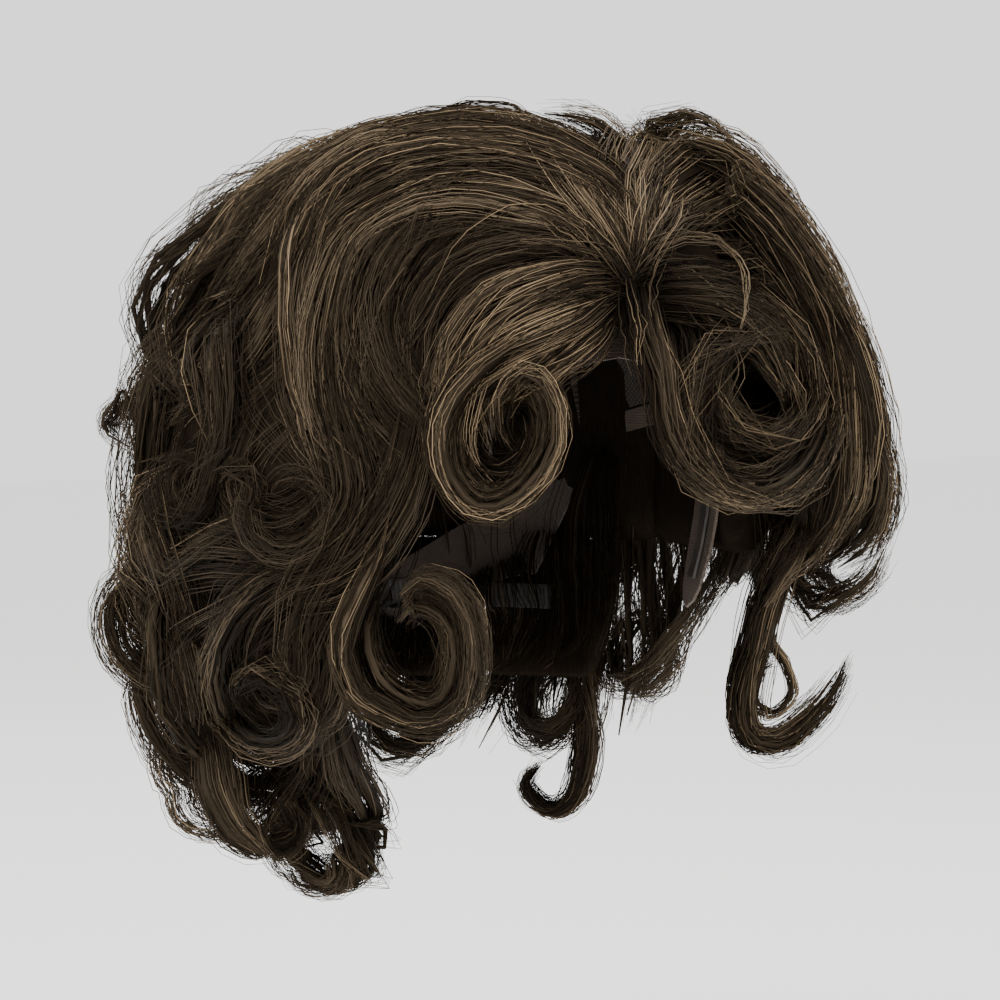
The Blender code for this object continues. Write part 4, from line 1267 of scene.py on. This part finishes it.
def curtain_lines():
    """Wavy hair that hangs close to the cap behind the lower curls."""
    for index, (piece, azimuth) in enumerate(NAPE_CURTAINS):
        line, side = falling_line(index, azimuth, CURTAIN_ELEVATION, CURTAIN_STAND_OFF, CURTAIN_SWAY,
                                  CURTAIN_MARKS, CURTAIN_RIPPLE)
        yield piece, lock_of_hair(line, side, CURTAIN_STRANDS, CURTAIN_HALF_WIDTH, CURTAIN_HALF_DEPTH, 0.0,
                                  CURTAIN_SEED + index)


def wave_lines():
    """Waves under the outer curls, all round the back and the sides."""
    for index, (piece, azimuth) in enumerate(UNDER_WAVES):
        line, side = falling_line(index, azimuth, WAVE_ELEVATION, WAVE_STAND_OFF, WAVE_SWAY, WAVE_MARKS,
                                  WAVE_RIPPLE)
        yield piece, lock_of_hair(line, side, WAVE_STRANDS, WAVE_HALF_WIDTH, WAVE_HALF_DEPTH, WAVE_PAINTED_SHADE,
                                  WAVE_SEED + index, spread=WAVE_SPREAD)


def inner_nape_lines():
    """The inner side of the lower locks, which shows below the cap's edge."""
    for index, (piece, azimuth) in enumerate(INNER_NAPE):
        from_back = abs(azimuth - 180.0)
        edge = float(np.interp(from_back, CAP_EDGE_FROM_BACK, CAP_EDGE_ELEVATION))
        elevation = (edge - INNER_BELOW_EDGE, INNER_END - edge)
        line, side = falling_line(index, azimuth, elevation, INNER_STAND_OFF, INNER_SWAY, INNER_MARKS)
        yield piece, lock_of_hair(line, side, INNER_STRANDS, INNER_HALF_WIDTH, INNER_HALF_DEPTH, INNER_NAPE_PAINTED_SHADE,
                                  INNER_SEED + index, INNER_WANDER)


def crown_lines():
    """Hair combed from the parting over the crown."""
    for index, (piece, azimuth, rise) in enumerate(CROWN_SWEEPS):
        start = unit(head_place(PARTING_AZIMUTH, rise, 0.0))
        finish = unit(head_place(azimuth, CROWN_SWEEP_END, 0.0))
        angle = math.acos(float(np.clip(np.dot(start, finish), -1, 1)))
        marks = []
        for share in np.linspace(0, 1, CROWN_MARKS):
            way = (math.sin((1 - share) * angle) * start + math.sin(share * angle) * finish) / math.sin(angle)
            lift = CROWN_LIFT[0] + CROWN_LIFT[1] * ease(share * CROWN_LIFT[2])
            lift += CROWN_RIPPLE[0] * math.sin(CROWN_RIPPLE[1] * share + CROWN_RIPPLE[2] * index)
            aside = np.cross(finish - start, way) * CROWN_ASIDE[0] * math.sin(CROWN_ASIDE[1] * share + index)
            marks.append(way * (head_radius(way) + lift) + aside)
        line, side = on_the_head(marks)
        yield piece, lock_of_hair(line, side, CROWN_STRANDS, CROWN_HALF_WIDTH, CROWN_HALF_DEPTH, CROWN_GOLD,
                                  CROWN_SEED + index)


def nape_lines():
    """The curls below the nape, and the hair that leads into each from the lock that holds it."""
    for index, (piece, holder, root, offsets, side) in enumerate(NAPE_CURLS):
        start = head_place(*root)
        line = smooth_line([start + np.array(offset) for offset in offsets])
        sides = np.tile(np.array(side), (len(line), 1))
        yield piece, lock_of_hair(line, sides, NAPE_STRANDS, NAPE_HALF_WIDTH, NAPE_HALF_DEPTH, NAPE_GOLD,
                                  NAPE_SEED + index, NAPE_WANDER, NAPE_SPREAD)
        azimuth, elevation, stand_off = root
        joining = [head_place(azimuth, elevation + rise, stand_off - sink) for rise, sink in LEAD_IN]
        line = smooth_line(joining + [start + np.array(offsets[2])])
        sides = np.tile(np.array(side), (len(line), 1))
        yield holder, lock_of_hair(line, sides, NAPE_STRANDS // 2, LEAD_IN_HALF_WIDTH, LEAD_IN_HALF_DEPTH,
                                   0.0, LEAD_IN_SEED + index, NAPE_WANDER)


def packed_hair(node, finish):
    """The dense hair next to the cap: the lock's own form, drawn in and rounded."""
    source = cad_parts[node]
    made = bpy.data.objects.new(node + "_packed", source.data.copy())
    bpy.context.scene.collection.objects.link(made)
    lower = node.startswith("lower_lock")
    kept = LOWER_PACKED_SHARE if lower else PACKED_SHARE
    clear = LOWER_PACKED_CLEAR * MM if lower else 0.0
    shape = bmesh.new()
    shape.from_mesh(made.data)
    bmesh.ops.remove_doubles(shape, verts=shape.verts, dist=1e-5)
    bmesh.ops.subdivide_edges(shape, edges=shape.edges, cuts=1, use_grid_fill=True)
    for vertex in shape.verts:
        place = np.array(vertex.co)
        length = np.linalg.norm(place)
        floor = head_radius(place / length) * MM
        depth = max(0.0, length - floor)
        wave = 0.0012 * math.sin(place[0] * 310) * math.sin(place[1] * 270 + 1.0) * math.sin(place[2] * 290)
        vertex.co = Vector(place / length * (floor + clear + depth * kept + wave * min(1.0, depth / 0.01)))
    for _ in range(PACKED_ROUNDING):
        bmesh.ops.smooth_vert(shape, verts=shape.verts, factor=0.5, use_axis_x=True, use_axis_y=True,
                              use_axis_z=True)
    middle = sum((vertex.co for vertex in shape.verts), Vector()) / len(shape.verts)
    for vertex in shape.verts:
        vertex.co = middle + (vertex.co - middle) * PACKED_SWELL
    bmesh.ops.recalc_face_normals(shape, faces=shape.faces)
    shape.to_mesh(made.data)
    shape.free()
    made.data.materials.clear()
    made.data.materials.append(finish)
    made.data.polygons.foreach_set("use_smooth", np.ones(len(made.data.polygons), bool))
    return made


def make_hair():
    profile = strand_profile()
    locks = {}
    for source in (swept_lines(), fan_lines(), ringlet_lines(), tiered_lines(), wave_lines(),
                   curtain_lines(), inner_nape_lines(), crown_lines(), nape_lines()):
        for piece, lock in source:
            locks.setdefault(piece, []).append(lock)
    finish = hair_finish()
    packed = shaded_under_hair_finish()
    for node, parts in locks.items():
        strands = hair_piece(node + "_strands", parts, finish, profile)
        pieces = [strands]
        if node.startswith(("crown_hair", "upper_lock", "side_lock", "lower_lock")):
            pieces.append(packed_hair(node, packed))
        for piece in pieces:
            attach(piece, node if node in HANGING_BODIES else "wig")
            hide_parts(node)
    bpy.data.objects.remove(profile)


# ---------------------------------------------------------------- the room
def make_floor():
    shape = bmesh.new()
    bmesh.ops.create_grid(shape, x_segments=1, y_segments=1, size=FLOOR_HALF_WIDTH)
    bmesh.ops.translate(shape, verts=shape.verts, vec=(0.0, 0.0, FLOOR_HEIGHT))
    mesh = bpy.data.meshes.new("pale_floor")
    shape.to_mesh(mesh)
    shape.free()
    floor = bpy.data.objects.new("pale_floor", mesh)
    bpy.context.scene.collection.objects.link(floor)
    finish = Finish("floor_paint", Roughness=0.8, Base_Color=(0.94, 0.94, 0.93, 1.0))
    mesh.materials.append(finish.material)


def soft_light(name, place, size, power):
    """A square lamp that faces the middle of the head."""
    data = bpy.data.lights.new(name, "AREA")
    data.shape = "SQUARE"
    data.size = size
    data.energy = power
    lamp = bpy.data.objects.new(name, data)
    lamp.location = place
    lamp.rotation_euler = (-Vector(place)).to_track_quat("-Z", "Y").to_euler()
    bpy.context.scene.collection.objects.link(lamp)


def make_room():
    make_floor()
    world = bpy.data.worlds.new("studio")
    world.use_nodes = True
    world.node_tree.nodes["Background"].inputs["Color"].default_value = (1.0, 1.0, 1.0, 1.0)
    world.node_tree.nodes["Background"].inputs["Strength"].default_value = ROOM_BRIGHTNESS
    bpy.context.scene.world = world
    for name, place, size, power in LAMPS:
        soft_light(name, place, size, power)


def make_camera():
    data = bpy.data.cameras.new("camera")
    data.sensor_width = SENSOR_WIDTH
    data.lens = SENSOR_WIDTH / (2.0 * math.tan(math.radians(VIEW_ANGLE / 2)))
    camera = bpy.data.objects.new("camera", data)
    camera.location = Vector(TOWARD * CAMERA_DISTANCE + UP * CAMERA_HEIGHT)
    aim = Vector(ACROSS * AIM_ACROSS + UP * AIM_UP)
    camera.rotation_euler = (aim - camera.location).to_track_quat("-Z", "Y").to_euler()
    bpy.context.scene.collection.objects.link(camera)
    bpy.context.scene.camera = camera


dress_cap()
make_hair()
make_room()
make_camera()
